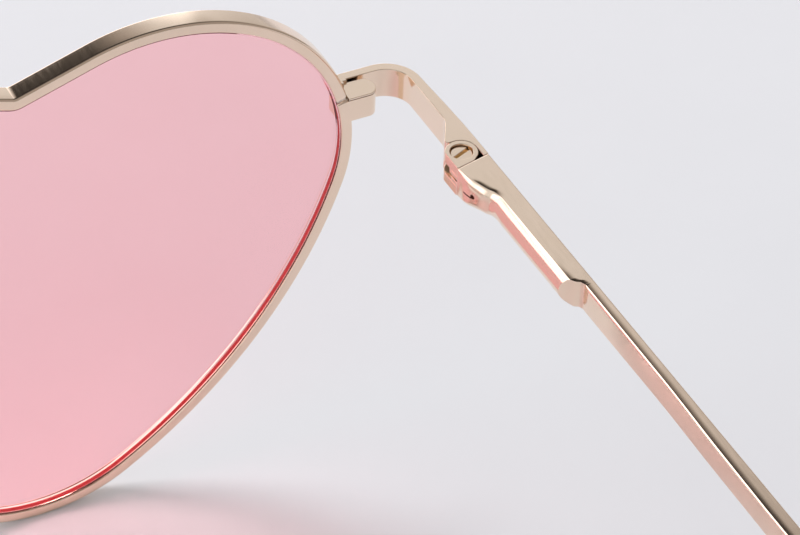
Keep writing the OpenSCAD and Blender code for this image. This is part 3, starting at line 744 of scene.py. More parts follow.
def make_rim(side):
    """Band round the split path, with a groove inside and a crowned face outside.

    At the share w of its depth the outer face is drawn in by the crown times
    1 - 4 w (1 - w), which is nothing in the middle.
    """
    corners = [
        (RIM_W, -RIM_D), (RIM_W, 0), (0, 0), (0, -GROOVE_0),
        (GROOVE_DEEP, -GROOVE_0), (GROOVE_DEEP, -GROOVE_1), (0, -GROOVE_1), (0, -RIM_D),
    ]
    profile = round_corners(corners, [0.12, 0.22, 0.12, 0.04, 0, 0, 0.04, 0.12])
    across = np.clip(-profile[:, 1] / RIM_D, 0, 1)
    outer_face = profile[:, 0] > 0.6 * RIM_W
    profile[:, 0] += np.where(outer_face, BAND_CROWN * (4 * across * (1 - across) - 1), 0)
    rings = sweep(profile, *split_path()).transpose(1, 0, 2)
    return piece(f"rim_{side}_band", side, [shell(rings)], f"rim_{side}", rose_gold)


print(f"rim: {RIM_W} mm by {RIM_D} mm, with a groove {GROOVE_DEEP} mm deep")

# %% [markdown]
# ## Lenses
# A lens is a flat slab with a small bevel on both faces and a narrower tongue that snaps
# into the rim's groove. It could be the heart extruded by Solidify, but bevel, tongue
# and deep red edge all follow from one profile here. The profile's rows are known, so
# the faces of rows 3 to 7, from bevel to bevel, get the edge's painted deep red and glow.

# %% Lenses
LENS_T, LENS_RECESS, LENS_GAP, LENS_BEVEL, LENS_FLAT = 1.4, 0.15, 0.06, 0.13, 6
BODY_GROW = 0.004
EDGE_ROWS = (3, 8)


def make_lens(side):
    """Slab between two fans: the profile (g, v) goes from the rear face to the front."""
    back, front = -LENS_RECESS, -LENS_RECESS - LENS_T
    tongue, tongue_0, tongue_1 = GROOVE_DEEP - LENS_GAP, -GROOVE_0 - LENS_GAP, -GROOVE_1 + LENS_GAP
    body, rim = BODY_GROW, BODY_GROW - LENS_BEVEL
    hold = BODY_GROW - 3 * LENS_BEVEL
    profile = [
        (-LENS_FLAT, back), (hold, back), (rim, back), (body, back - LENS_BEVEL),
        (body, tongue_0), (tongue, tongue_0), (tongue, tongue_1), (body, tongue_1),
        (body, front + LENS_BEVEL), (rim, front), (hold, front), (-LENS_FLAT, front),
    ]
    rings = sweep(profile)
    obj = piece(f"lens_{side}_slab", side, [shell(rings, fan=True)], f"lens_{side}", lens_pink)
    obj.data.materials.append(lens_edge_painted_glow)
    index = np.zeros(len(obj.data.polygons), np.int32)
    index[EDGE_ROWS[0] * len(HEART):EDGE_ROWS[1] * len(HEART)] = 1
    obj.data.polygons.foreach_set("material_index", index)
    obj.data.polygons.foreach_set("use_smooth", [False] * len(obj.data.polygons))
    return obj


for side in SIDES:
    tell(f"{side} rim and lens", [make_rim(side), make_lens(side)])

# %% [markdown]
# ## Closing blocks
# The closing block is soldered to the rim in two parts, and its screw pulls the rim shut
# round the lens. The lower part has a step. The upper one is a thin lip on top with a leg
# that hangs in front of that step, so from behind only a hairline shows under the lip.
# All four bodies are prisms over the same plan with round outer corners, cut off at
# different depths, so that their outer faces line up.

# %% Closing blocks
BLOCK_LEN, BLOCK_D, BLOCK_ROUND = 2.9, 2.2, 1.0
LEG_H, LEG_D, SPLIT_GAP = 1.2, 1.4, 0.05
BLOCK_SINK, RIM_BITE, RIM_CLEAR, LEG_LAP, LEG_SINK = 0.02, 0.5, 0.4, 0.3, 0.06
LEG_FOOT = BLOCK_TOP - LEG_H
BLOCK_END = BLOCK_U + BLOCK_LEN


def block_outline(front, rear, start):
    """Plan of a part of the block between two depths, with its rounded outer end.

    At depth v its outer edge is at end + sqrt(r^2 - s^2), where s is how far v lies
    past the start of a corner's arc of radius r.
    """
    end = BLOCK_END - BLOCK_ROUND
    rear_arc = arc((end, -BLOCK_ROUND), BLOCK_ROUND, 0, 90, 12)
    front_arc = arc((end, BLOCK_ROUND - BLOCK_D), BLOCK_ROUND, -90, 0, 12)
    curve = np.vstack([front_arc, rear_arc])
    curve = curve[(curve[:, 1] > front + 1e-3) & (curve[:, 1] < rear - 1e-3)]

    def edge_u(v):
        """The outer edge at depth v."""
        slip = max(v + BLOCK_ROUND, -BLOCK_D + BLOCK_ROUND - v, 0)
        return end + math.sqrt(max(BLOCK_ROUND**2 - slip**2, 0))

    ends = [(start, rear), (start, front), (edge_u(front), front)]
    return np.vstack([ends, curve, [(edge_u(rear), rear)]])


def make_block(side):
    """Lower half with a step, and the upper half's lip and leg, which fill that step."""
    leg_v, rear = -BLOCK_D + LEG_D, -BLOCK_SINK
    in_rim = LENS_U + shoulder_u(LEG_FOOT, RIM_W) - RIM_BITE
    clear = BLOCK_U + RIM_CLEAR
    seam = SPLIT_GAP / 2
    halves = {
        "upper": [
            prism(block_outline(-BLOCK_D, rear, BLOCK_U), BLOCK_SPLIT + seam, BLOCK_TOP),
            prism(block_outline(-BLOCK_D, leg_v, clear), LEG_FOOT + seam, BLOCK_TOP - LEG_SINK),
        ],
        "lower": [
            prism(block_outline(leg_v + SPLIT_GAP, rear, in_rim), BLOCK_FOOT, BLOCK_SPLIT - seam),
            prism(block_outline(-BLOCK_D, leg_v + LEG_LAP, clear), BLOCK_FOOT, LEG_FOOT - seam),
        ],
    }
    made = []
    for half, shells in halves.items():
        node = f"closing_block_{half}_{side}"
        made.append(piece(f"{node}_body", side, shells, node, rose_gold, bevel=0.04))
    return made


print(f"closing block: {BLOCK_TOP - BLOCK_FOOT:.1f} mm high, cut at z {BLOCK_SPLIT:.2f} mm")

# %% [markdown]
# ## Screws
# Glasses screws are tiny, turned from wire and slotted with a saw. A boolean could cut
# the slot, but a slot is only the gap between two things: the head is a disc as low as
# the slot's floor with two half moons on it. The same function makes the closing, hinge
# and pad screws. The closing screw goes in from below, where the wearer can't see it.

# %% Screws
SAW_W, SAW_DEEP = 0.32, 0.24
POINT_SHARE, SHANK_EDGE, HEAD_EDGE, MOON_SINK = 0.1, 0.04, 0.03, 0.1
CLOSING_R, CLOSING_HEAD_R, CLOSING_HEAD_H, CLOSING_SHARE = 0.4, 0.575, 0.4, 0.6


def slotted_screw(head_r, head_h, shank_r, shank_len, turn=0.0):
    """Screw along +z with the top of its head at 0: a turned body and two half moons.

    The body is a stack of circles (r, z). A half moon starts where the slot's edge leaves
    the head, at the angle asin(half the slot's width / head radius).
    """
    foot = -head_h - shank_len
    circles = [
        (POINT_SHARE * head_r, foot), (shank_r - SHANK_EDGE, foot), (shank_r, foot + SHANK_EDGE),
        (shank_r, -head_h), (head_r - HEAD_EDGE, -head_h), (head_r, -head_h + HEAD_EDGE),
        (head_r, -SAW_DEEP), (POINT_SHARE * head_r, -SAW_DEEP),
    ]
    t = 2 * math.pi * np.arange(48) / 48
    ring = np.column_stack([np.cos(t), np.sin(t), np.zeros(48)])
    shells = [shell([r * ring + np.array([0, 0, z]) for r, z in circles], fan=True)]
    low = math.degrees(math.asin(SAW_W / 2 / head_r))
    for start in (turn, turn + 180):
        half = arc((0, 0), head_r, start + low, start + 180 - low, 28)
        shells.append(prism(half, -SAW_DEEP - MOON_SINK, 0))
    return shells


def moved(shells, at, flip=False):
    """Shells moved to a point, and first turned upside down if flip is set."""
    turn = np.array([1, -1, -1]) if flip else np.ones(3)
    return [(verts * turn + np.array(at), faces) for verts, faces in shells]


def make_closing_screw(side):
    """Screw from below through the lower half and into the leg, up to a share of it."""
    length = LEG_FOOT + CLOSING_SHARE * LEG_H - SIDE_GAP - BLOCK_FOOT - CLOSING_HEAD_H
    shells = slotted_screw(CLOSING_HEAD_R, CLOSING_HEAD_H, CLOSING_R, length)
    at = (BLOCK_U + BLOCK_LEN / 2, -BLOCK_D + LEG_D / 2, BLOCK_FOOT)
    node = f"closing_screw_{side}"
    return piece(f"{node}_body", side, moved(shells, at, True), node, screw_gold, bevel=0.03)


print(f"closing screw: {2 * CLOSING_R:.1f} mm thick, head {2 * CLOSING_HEAD_R:.2f} mm wide")

# %% [markdown]
# ## The hinge's own directions
# Temples don't run straight back but splay outwards a little, and the hinge is turned with
# them. It could be modelled straight and turned as an object, but finished objects stay
# unturned at the origin. So the hinge is drawn in (a, b), outwards and backwards from its
# screw, and a function turns its points into the drawing's plan.

# %% Hinge directions
KNUCKLE_R, FORK_A, OUTER_A = 1.42, 1.35, 1.95
BUTT_B, BUTT_ANGLE = 1.55, 10


def hinge_plan(points):
    """Takes (a, b), outwards and backwards at the hinge, to the drawing's (u, v).

    It is a turn by the splay s: u = a cos s + b sin s and v = b cos s - a sin s.
    """
    points = np.atleast_2d(points)
    c, s = math.cos(math.radians(SPLAY)), math.sin(math.radians(SPLAY))
    a, b = points[:, 0], points[:, 1]
    return np.column_stack([HINGE_U + c * a + s * b, HINGE_V - s * a + c * b])


def to_hinge(shells):
    """Shells drawn in (a, b, z) taken to (u, v, z)."""
    return [(np.column_stack([hinge_plan(verts[:, :2]), verts[:, 2]]), faces)
            for verts, faces in shells]


def butt_at(a):
    """Where the temple's slanted front face lies at distance a from the hinge screw."""
    return BUTT_B - a * math.tan(math.radians(BUTT_ANGLE))


print(f"the temple's front face goes from b {butt_at(OUTER_A):.2f} to {butt_at(-FORK_A):.2f} mm")

# %% [markdown]
# ## End pieces
# The end piece is a strip on edge. It leaves the rim's front, bends backwards and thickens
# to the hinge, where a round seat holds the fork's knuckle, a wall stops the open temple,
# and a tongue goes between the fork's plates. It could be several boxes side by side, but
# the real one looks like one bent strip, so one closed outline is drawn in plan, round
# the bend and back, and raised to the hinge's height.

# %% End pieces
STRIP_T, STRIP_LAP, STRIP_GAP, BEND_R, HEEL_LEN = 0.85, 1.1, 0.2, 2.45, 0.8
STRIP_A, RAMP_B, ROOT_A, SWELL_A = 0.75, 4.2, 0.85, (1.85, 1.93)
WALL_ROUND, ROOT_ROUND, RAMP_ROUND = 0.06, 0.3, 1.6
PLATE_H, TONGUE_R, NECK_A, NECK_B, ROOT_LAP = 0.95, 1.1, 0.6, 0.4, 0.2
STRIP_V = -BLOCK_D - STRIP_GAP
SEAT_R = KNUCKLE_R + RUN_GAP


def end_piece_outline():
    """Plan of the end piece in (u, v), from the rim's front round to the hinge and back.

    The bend's centre is where the strip's inner face, on its way back at a = STRIP_A,
    lies one bend radius away from it.
    """
    s = math.radians(SPLAY)
    bend_v = STRIP_V + BEND_R
    bend_u = HINGE_U + (STRIP_A - BEND_R + (bend_v - HINGE_V) * math.sin(s)) / math.cos(s)
    bend_b = (bend_u - HINGE_U) * math.sin(s) + (bend_v - HINGE_V) * math.cos(s)
    step = LENS_U + shoulder_u(HINGE_FOOT, RIM_W)
    start, heel = step - STRIP_LAP, BLOCK_U + HEEL_LEN
    outer_b = np.linspace(bend_b, 0, 9)[1:-1]
    outer_a = through(outer_b, [bend_b, bend_b / 2, bend_b / 4, 0],
                      [STRIP_A + STRIP_T, *SWELL_A, OUTER_A])
    wall = round_corners([
        (OUTER_A, 0), (OUTER_A, butt_at(OUTER_A) - SIDE_GAP),
        (SEAT_R, butt_at(SEAT_R) - SIDE_GAP), (SEAT_R, 0),
    ], [0, WALL_ROUND, WALL_ROUND, 0])
    ramp = round_corners([
        (0, -SEAT_R), (-ROOT_A, -SEAT_R), (STRIP_A, -RAMP_B), (STRIP_A, bend_b),
    ], [0, ROOT_ROUND, RAMP_ROUND, 0])
    return np.vstack([
        [(start, STRIP_V - STRIP_T)],
        arc((bend_u, bend_v), BEND_R + STRIP_T, -90, -SPLAY, 30),
        hinge_plan(np.column_stack([outer_a, outer_b])),
        hinge_plan(wall[:-1]),
        hinge_plan(arc((0, 0), SEAT_R, 0, -90, 16)[:-1]),
        hinge_plan(ramp[:-1]),
        arc((bend_u, bend_v), BEND_R, -SPLAY, -90, 24),
        [(heel, STRIP_V), (heel, -BLOCK_D), (step, -BLOCK_D), (step, -RIM_D), (start, -RIM_D)],
    ])


def make_end_piece(side):
    """The strip's prism, and the tongue's between the heights of the fork's plates."""
    tongue = np.vstack([
        arc((0, 0), TONGUE_R, -20, 180, 40),
        [(-NECK_A, -NECK_B), (-NECK_A, -SEAT_R - ROOT_LAP), (0.9 * TONGUE_R, -SEAT_R - ROOT_LAP)],
    ])
    inner = PLATE_H + SIDE_GAP
    shells = [
        prism(end_piece_outline(), HINGE_FOOT, HINGE_TOP),
        prism(hinge_plan(tongue), HINGE_FOOT + inner, HINGE_TOP - inner),
    ]
    node = f"end_piece_{side}"
    return piece(f"{node}_strip", side, shells, node, rose_gold, bevel=0.05)


for side in SIDES:
    made = [*make_block(side), make_closing_screw(side), make_end_piece(side)]
    tell(f"{side} closing block, its screw and end piece", made)

# %% [markdown]
# ## Hinge forks
# The fork is soldered to the temple. Its two plates hold the screw, whose head lies in a
# sink in the upper one, and a web joins them behind the tongue. A plate with a hole could
# be a boolean; here it is a ring that runs round from its outline over the top, down the
# hole and back, each outline point joined to the hole's point in the same direction from
# the screw. Points are added along the outline, so the hole is round too.

# %% Hinge forks
HINGE_SCREW_R, HINGE_HEAD_R, HINGE_HEAD_H, HEAD_SUNK = 0.6, 0.92, 0.4, 0.22
BORE_GAP, SINK_GAP, SEAM = 0.02, 0.08, 0.02
REAR_A, WEB_B, WEB_CORNER, WEB_SEAM, OUTLINE_STEP = 0.43, 0.75, 0.95, 0.1, 0.12


def holed_plate(outline, low, high, hole_r, sink_r=0, sink=0):
    """Plate with a hole round the origin, sunk wider from the top where sink is set."""
    ways = outline / np.linalg.norm(outline, axis=1)[:, None]
    levels = [(outline, low), (outline, high)]
    if sink:
        levels += [(sink_r * ways, high), (sink_r * ways, high - sink), (hole_r * ways, high - sink)]
    else:
        levels.append((hole_r * ways, high))
    levels.append((hole_r * ways, low))
    return shell([np.column_stack([flat, np.full(len(flat), z)]) for flat, z in levels], loop=True)


def fork_rear():
    """The two corners of the fork's rear face, a seam in front of the temple's."""
    return [(REAR_A, butt_at(REAR_A) - SEAM), (-FORK_A, butt_at(-FORK_A) - SEAM)]


def fork_outline():
    """Plan of the fork in (a, b): a round front, a flat inner side and the rear face.

    The flat side meets the circle at the angle whose cosine is -FORK_A / KNUCKLE_R.
    """
    flat = math.degrees(math.acos(-FORK_A / KNUCKLE_R))
    front = arc((0, 0), KNUCKLE_R, -flat, 45, 60)
    rear = round_corners([front[-1], *fork_rear(), front[0]], [0, 0.08, 0.05, 0], hold=0.03)
    return dense(np.vstack([front, rear[1:-1]]), OUTLINE_STEP)


def make_fork(side):
    """Two holed plates, and a web between them with a fine seam at half height."""
    outline = fork_outline()
    middle = HINGE_TOP - HINGE_H / 2
    rear = fork_rear()
    web = np.vstack([
        [(-FORK_A, WEB_B), rear[1], rear[0], (WEB_CORNER, WEB_CORNER)],
        arc((0, 0), TONGUE_R + RUN_GAP, 40, 139, 20),
    ])
    bore = HINGE_SCREW_R + BORE_GAP
    shells = [
        holed_plate(outline, HINGE_TOP - PLATE_H, HINGE_TOP, bore,
                    HINGE_HEAD_R + SINK_GAP, HEAD_SUNK + HINGE_HEAD_H),
        holed_plate(outline, HINGE_FOOT, HINGE_FOOT + PLATE_H, bore),
        prism(web, HINGE_FOOT + PLATE_H, middle - WEB_SEAM),
        prism(web, middle + WEB_SEAM, HINGE_TOP - PLATE_H),
    ]
    node = f"hinge_fork_{side}"
    return piece(f"{node}_plates", side, to_hinge(shells), node, rose_gold, bevel=0.045)


print("fork outline:", len(fork_outline()), "points")

# %% [markdown]
# ## Hinge screws
# The hinge screw's head lies a little under the fork's top. Its flat face is polished with
# the frame and has the frame's colour, and the saw's slot shows the yellow gold of the
# shank below, so the screw is two pieces with two metals.

# %% Hinge screws
HINGE_SLOT_TURN = -20


def make_hinge_screw(side):
    """Shank and head as two pieces of one node."""
    shank_len = HINGE_H - HEAD_SUNK - HINGE_HEAD_H
    shells = slotted_screw(HINGE_HEAD_R, HINGE_HEAD_H, HINGE_SCREW_R, shank_len, HINGE_SLOT_TURN)
    shells = to_hinge(moved(shells, (0, 0, HINGE_TOP - HEAD_SUNK)))
    node = f"hinge_screw_{side}"
    return [
        piece(f"{node}_shank", side, shells[:1], node, screw_gold, bevel=0.03),
        piece(f"{node}_head", side, shells[1:], node, rose_gold, bevel=0.05),
    ]


for side in SIDES:
    tell(f"{side} hinge", [make_fork(side), *make_hinge_screw(side)])

# %% [markdown]
# ## The middle line of a temple
# A temple runs level, drops a little along a wide arc, and turns down behind the ear. It
# could follow a curve with handles, but three lines and two arcs bend as a real one does, over
# a round former, and its length is easy to state. Points are asked for by their distance s
# from the hinge, so the section's changes can be placed in true millimetres.

# %% Middle line
BAR_T, BAR_H = 1.33, 2.4
LEVEL_B, DROP_R, DROP_ANGLE, BACK_LEN = 58, 150, 8, 12
EAR_R, EAR_ANGLE, TIP_H, TIP_T = 26, 46, 4.0, 2.6
BAR_Z = HINGE_TOP - BAR_H / 2


def turn_dir(angle):
    """Direction in the (b, z) plane, an angle in degrees below the level."""
    return np.array([math.cos(math.radians(angle)), -math.sin(math.radians(angle))])


def down_arc(start, radius, t0, t):
    """Points of an arc that turns downwards from heading t0, at headings t in degrees.

    From its start it goes radius x (sin t - sin t0) along and (cos t - cos t0) up.
    """
    t, t0 = np.radians(t), math.radians(t0)
    return start + radius * np.column_stack([np.sin(t) - math.sin(t0), np.cos(t) - math.cos(t0)])


LEVEL_END = np.array([LEVEL_B, BAR_Z])
DROP_END = down_arc(LEVEL_END, DROP_R, 0, [DROP_ANGLE])[0]
EAR_START = DROP_END + BACK_LEN * turn_dir(DROP_ANGLE)
EAR_END = down_arc(EAR_START, EAR_R, DROP_ANGLE, [EAR_ANGLE])[0]
TAIL_LEN = (EAR_END[1] + RIM_W - TIP_H / 2) / math.sin(math.radians(EAR_ANGLE))
LEGS = np.array([
    LEVEL_B, DROP_R * math.radians(DROP_ANGLE), BACK_LEN,
    EAR_R * math.radians(EAR_ANGLE - DROP_ANGLE), TAIL_LEN + TIP_H,
])
BAR_ENDS = np.cumsum(LEGS)


def middle_line(stations):
    """Points (b, z) and headings at the given lengths s along the bar, from the hinge."""
    s = np.asarray(stations, float)[:, None]
    drop = np.clip((s[:, 0] - BAR_ENDS[0]) / LEGS[1], 0, 1) * DROP_ANGLE
    ear_share = np.clip((s[:, 0] - BAR_ENDS[2]) / LEGS[3], 0, 1)
    ear = DROP_ANGLE + ear_share * (EAR_ANGLE - DROP_ANGLE)
    points = np.select(
        [s < end for end in BAR_ENDS[:4]],
        [
            np.column_stack([s[:, 0], np.full(len(s), BAR_Z)]),
            down_arc(LEVEL_END, DROP_R, 0, drop),
            DROP_END + (s - BAR_ENDS[1]) * turn_dir(DROP_ANGLE),
            down_arc(EAR_START, EAR_R, DROP_ANGLE, ear),
        ],
        EAR_END + (s - BAR_ENDS[3]) * turn_dir(EAR_ANGLE),
    )
    return points, np.where(s[:, 0] < BAR_ENDS[2], drop, ear)


print(f"temple: {BAR_ENDS[3] + TAIL_LEN:.1f} mm along its middle line")

# %% [markdown]
# ## The section of a temple
# The outer face and the top are flat. The inner face is a barrel round the spring: it
# leaves the top edge at 50 degrees from the upright, turns upright along an arc, and
# turns outwards again above the bottom. Near its inner edge the top falls by a few
# hundredths, which is what makes its reflection fade. A rounded rectangle would be
# simpler, but then the inner face is one flat mirror, and the real one is not.

# %% Section and its place
BARREL_LEAN, BARREL_TURN = math.radians(50), math.radians(70)
FACET_SHARE, FOOT_FLAT, CROWN_W, EDGE_R = 0.99, 0.06, 0.52, 0.14


def section(inner, outer, low, high, r_top, r_low, cut, sag):
    """Ring (a, h) of the bar, from the inner top edge down, round the outside and back.

    The inner face is an arc of radius r_top, then one of radius r_low, which is held
    small enough to end above the bottom. What lies inwards of a = cut is milled away. The
    top falls by sag (1 - x / CROWN_W)^2 at distance x from the inner edge.
    """
    t = np.append(BARREL_LEAN, np.linspace(FACET_SHARE * BARREL_LEAN, 0, 12))
    lean_a, lean_h = math.cos(BARREL_LEAN), math.sin(BARREL_LEAN)
    upper_a = inner - r_top * (np.cos(t) - lean_a)
    upper_h = high - sag - r_top * (lean_h - np.sin(t))
    foot = low + FOOT_FLAT
    r_low = min(r_low, (upper_h[-1] - foot) / math.sin(BARREL_TURN))
    t = np.linspace(0, BARREL_TURN, 13)[1:]
    lower_a = upper_a[-1] + r_low * (1 - np.cos(t))
    lower_h = foot + r_low * (math.sin(BARREL_TURN) - np.sin(t))
    face = np.column_stack([np.append(upper_a, lower_a), np.append(upper_h, lower_h)])
    face[:, 0] = np.maximum(face[:, 0], cut)
    foot_a, head_a = face[-1, 0], face[0, 0]
    outside = round_corners(
        [(foot_a + 0.1, low), (outer, low), (outer, high), (outer - 0.3, high)],
        [0, EDGE_R, EDGE_R, 0], 5,
    )
    inwards = np.append(np.linspace(CROWN_W, 0.02, 8), 0.004)
    top = np.column_stack([head_a + inwards, high - sag * (1 - inwards / CROWN_W) ** 2])
    return np.vstack([face, [(foot_a + 0.03, low + 0.02)], outside, top])


def bar_ring(ring, point, heading, skew):
    """Sets a section (a, h) on the middle line; with skew 1 it slants as the front face."""
    along, up = turn_dir(heading), turn_dir(heading - 90)
    slant = skew * (butt_at(ring[:, 0]) - BUTT_B)
    return np.column_stack([ring[:, 0], point + ring[:, 1:] * up + slant[:, None] * along])


test_ring = section(0, 2, -1.2, 1.2, 1, 1, -3, 0)
print("a section has", len(test_ring), "points")

# %% [markdown]
# ## Temples
# From the hinge a temple swells to 1.75 mm round its spring, runs on with nearly the same
# section, and steps down to a thin leaf that turns into a plain bar. The step is milled,
# so its edge is a straight ramp across the barrel. These sizes could be typed in for each
# section, but there are more than 150 of them. So each size is a pair of lists, distances from the
# hinge and the sizes there, and a curve or straight lines join them.

# %% Size curves of a temple
SWELL_B, STEP_B, STEP_LEN, BAR_B, THIN_H = 6.6, 17.5, 1.2, 46, 2.8
BAR_A, BAR_MID_A = OUTER_A - BAR_T, OUTER_A - BAR_T / 2
BARREL_B = [0, 1.8, 3, 5, 8, 18.68, 18.8, 60]
BARREL_TOP = (BARREL_B, [0.3, 0.37, 0.93, 1.37, 1.87, 1.87, 0.35, 0.35])
BARREL_LOW = (BARREL_B, [0.2, 0.25, 0.5, 1.1, 1.55, 1.55, 0.15, 0.15])
MILLED = (
    [0, 16.8, 16.9, 17.5, 18.1, 18.3, 18.65, 18.8, 19.5, 19.6],
    [-3, -3, -0.75, 0.1, 0.55, 0.87, 1.04, 1.04, 0.96, -3],
)
TOP_SAG = (
    [0, 3.2, 4.4, 5.6, 7.5, 15, 18.2, 20, 28, 60],
    [0, 0, 0.045, 0.045, 0, 0, 0.05, 0.045, 0.038, 0.035],
)
INNER_FACE = (
    [1.2, 1.79, 3.14, 4.06, 5.2, 5.76, SWELL_B, 12, 18.68, 18.8, 23, 31, 38, BAR_B],
    [-1.3, -1.25, -1.0, -0.69, -0.27, 0.04, 0.2, 0.21, 0.26, 1.09, 1.07, 1.03, 0.85, BAR_A + 0.1],
)
HEIGHT = ([0, STEP_B, STEP_B + STEP_LEN, BAR_B], [HINGE_H, THIN_H, THIN_H, BAR_H])
FRONT_EASE = (0.05, 0.015)
TIP_COVER = 3.2
print("widest at b", SWELL_B, "mm, step at b", STEP_B, "mm, plain bar from b", BAR_B, "mm")

# %% [markdown]
# ## The loft of a temple
# A section is placed at each station along the middle line, and the rings are joined from
# the hinge to inside the sleeve. Barrel, step and bar could be separate shells, but on a
# polished bar every joint would show as a line. The stations lie close together where
# the sizes change fast, and far apart on the plain bar.

# %% Temples


def make_temple(side):
    """Loft of sections; the first two are drawn in a little, which rounds the front edge."""
    stations = np.concatenate([
        BUTT_B + np.array([0, 0.03, 0.07, 0.11, 0.16, 0.24]), np.linspace(2, SWELL_B, 28),
        np.linspace(7.2, 16.7, 14), np.linspace(16.8, 18.66, 36),
        [18.68, 18.72, 18.76, 18.8, 18.9, 19.1, 19.3, 19.5, 19.6, 19.9],
        np.linspace(20.2, LEVEL_B, 32), np.linspace(LEVEL_B, BAR_ENDS[1], 10)[1:], [BAR_ENDS[2]],
        np.linspace(BAR_ENDS[2], BAR_ENDS[3], 20)[1:], [BAR_ENDS[3] + TAIL_LEN - TIP_COVER],
    ])
    points, headings = middle_line(stations)
    ease = np.zeros(len(stations))
    ease[:2] = FRONT_EASE
    sizes = zip(
        np.where(stations < BAR_B, through(stations, *INNER_FACE), BAR_A + 0.1) + ease,
        OUTER_A - ease,
        BAR_H / 2 - np.interp(stations, *HEIGHT) + ease,
        BAR_H / 2 - ease,
        through(stations, *BARREL_TOP),
        through(stations, *BARREL_LOW),
        np.interp(stations, *MILLED),
        through(stations, *TOP_SAG),
    )
    skew = np.clip((SWELL_B - stations) / (SWELL_B - BUTT_B), 0, 1)
    rings = [bar_ring(section(*size), *at) for size, at in zip(sizes, zip(points, headings, skew))]
    node = f"temple_{side}"
    return piece(f"{node}_bar", side, to_hinge([shell(rings)]), node, temple_gold_slot_shade)


print(f"temple bar: {OUTER_A - through(12, *INNER_FACE):.2f} mm thick in the middle of its barrel")

# %% [markdown]
# ## Temple tips
# A plastic sleeve is pushed over the bar's end and bent with it when warm. Its section is
# an oval between an ellipse and a rectangle, and it starts with a short taper and ends in
# a dome. It could be a curve with a bevel object, but the dome and taper are easier as a
# factor that grows and shrinks the oval: along the dome it is sqrt(1 - (x / half)^2).

# %% Temple tips
SLEEVE_LEAD, TAPER_LEN, TAPER_SHARE = 9, 4, 0.72
LIP = ([0, 0.05, 0.2, 0.5], [0.9, 0.96, 0.99, 1])
OVAL_POWER_A, OVAL_POWER_H = 0.75, 0.8


def make_temple_tip(side):
    """Loft of ovals: a = T/2 sign(cos t) |cos t|^p, and h likewise with sin t."""
    start = BAR_ENDS[2] - SLEEVE_LEAD
    end = BAR_ENDS[3] + TAIL_LEN
    half = TIP_H / 2
    stations = np.concatenate([
        start + np.array([0, 0.05, 0.2, 0.5, 1.2]), np.linspace(start + 3, BAR_ENDS[2], 5),
        np.linspace(BAR_ENDS[2], BAR_ENDS[3], 24)[1:], np.linspace(BAR_ENDS[3], end, 12)[1:],
        end + half * np.sin(np.radians(np.linspace(0, 88, 16)[1:])),
    ])
    points, headings = middle_line(stations)
    lead = np.clip((stations - start) / TAPER_LEN, 0, 1)
    grow = TAPER_SHARE + (1 - TAPER_SHARE) * lead * (2 - lead)
    grow *= np.interp(stations - start, *LIP)
    grow *= np.sqrt(np.clip(1 - (np.clip(stations - end, 0, None) / half) ** 2, 0.0004, 1))
    t = np.linspace(0, 2 * math.pi, 56, endpoint=False)
    oval_a = np.sign(np.cos(t)) * np.abs(np.cos(t)) ** OVAL_POWER_A * TIP_T / 2
    oval_h = np.sign(np.sin(t)) * np.abs(np.sin(t)) ** OVAL_POWER_H * TIP_H / 2
    rings = [
        bar_ring(np.column_stack([BAR_MID_A + g * oval_a, g * oval_h]), point, heading, 0)
        for point, heading, g in zip(points, headings, grow)
    ]
    node = f"temple_tip_{side}"
    return piece(f"{node}_sleeve", side, to_hinge([shell(rings)]), node, tip_plastic)


for side in SIDES:
    tell(f"{side} temple and tip", [make_temple(side), make_temple_tip(side)])

# %% [markdown]
# ## Bridge
# The usual bridge of such a frame is a square wire, arched over the nose and soldered
# between the rims. It could be a bent curve with a bevel profile, but its ends, cut off
# square, would either stop short of the round rims or come out inside them. So each point
# of the section runs on along its own arc until it lies just inside the rim's metal.

# %% Bridge
BRIDGE_R, BRIDGE_W, BRIDGE_D, BRIDGE_DROP, BRIDGE_BITE = 16, 1.7, 1.7, 0.1, 0.2
BRIDGE_ROUND = 0.45


def make_bridge():
    """Arched bar: a rounded square carried along an arc over the nose.

    Each point runs on until it lies BRIDGE_BITE deep in the rim. That is where its own
    arc, of radius r, meets the shoulder's circle of radius R: with the centres D apart and
    the line between them at angle t, it is t - acos((r^2 + D^2 - R^2) / (2 r D)).
    """
    centre_z = NOTCH_Z - BRIDGE_DROP - BRIDGE_W / 2 - BRIDGE_R
    w, d = BRIDGE_W / 2, BRIDGE_D / 2
    ring = round_corners([(-w, -d), (w, -d), (w, d), (-w, d)], [BRIDGE_ROUND] * 4)
    radius = BRIDGE_R + ring[:, 0]
    to_rim = np.array([LENS_U - SHOULDER_C[0], SHOULDER_C[1] - centre_z])
    apart = np.linalg.norm(to_rim)
    rim_r = SHOULDER_R + RIM_W - BRIDGE_BITE
    cosine = (radius**2 + apart**2 - rim_r**2) / (2 * radius * apart)
    reach = math.atan2(*to_rim) - np.arccos(cosine)
    rings = [
        np.column_stack([radius * np.sin(x), ring[:, 1] - RIM_D / 2, centre_z + radius * np.cos(x)])
        for x in np.linspace(-1, 1, 45)[:, None] * reach
    ]
    return piece("bridge_arch", "left", [shell(rings)], "bridge", rose_gold)


tell("bridge", [make_bridge()])

# %% [markdown]
# ## Pad arms
# A pad arm is a round wire that is soldered to the rear of the rim and bent twice in plan,
# outwards and back, so that the pad can be set to the nose. Lines and arcs again, as a
# pair of pliers would bend it: each bend turns about a centre one radius to the side. The
# wire could be a curve with a round bevel, but as a circle carried along this line it
# needs no change of object type, and the box is placed from the same line's end.

# %% Pad arms
PAD_Z, ARM_DIA, ARM_R, ARM_TURN, ARM_SUNK = 28.5, 1.0, 1.8, 60, 0.4
ARM_START, ARM_MID, ARM_END = 0.6, 1.0, 2.6
PAD_SPLAY, PAD_TILT = 25, 18
ARM_U = LENS_U - shoulder_u(PAD_Z, RIM_W / 2)


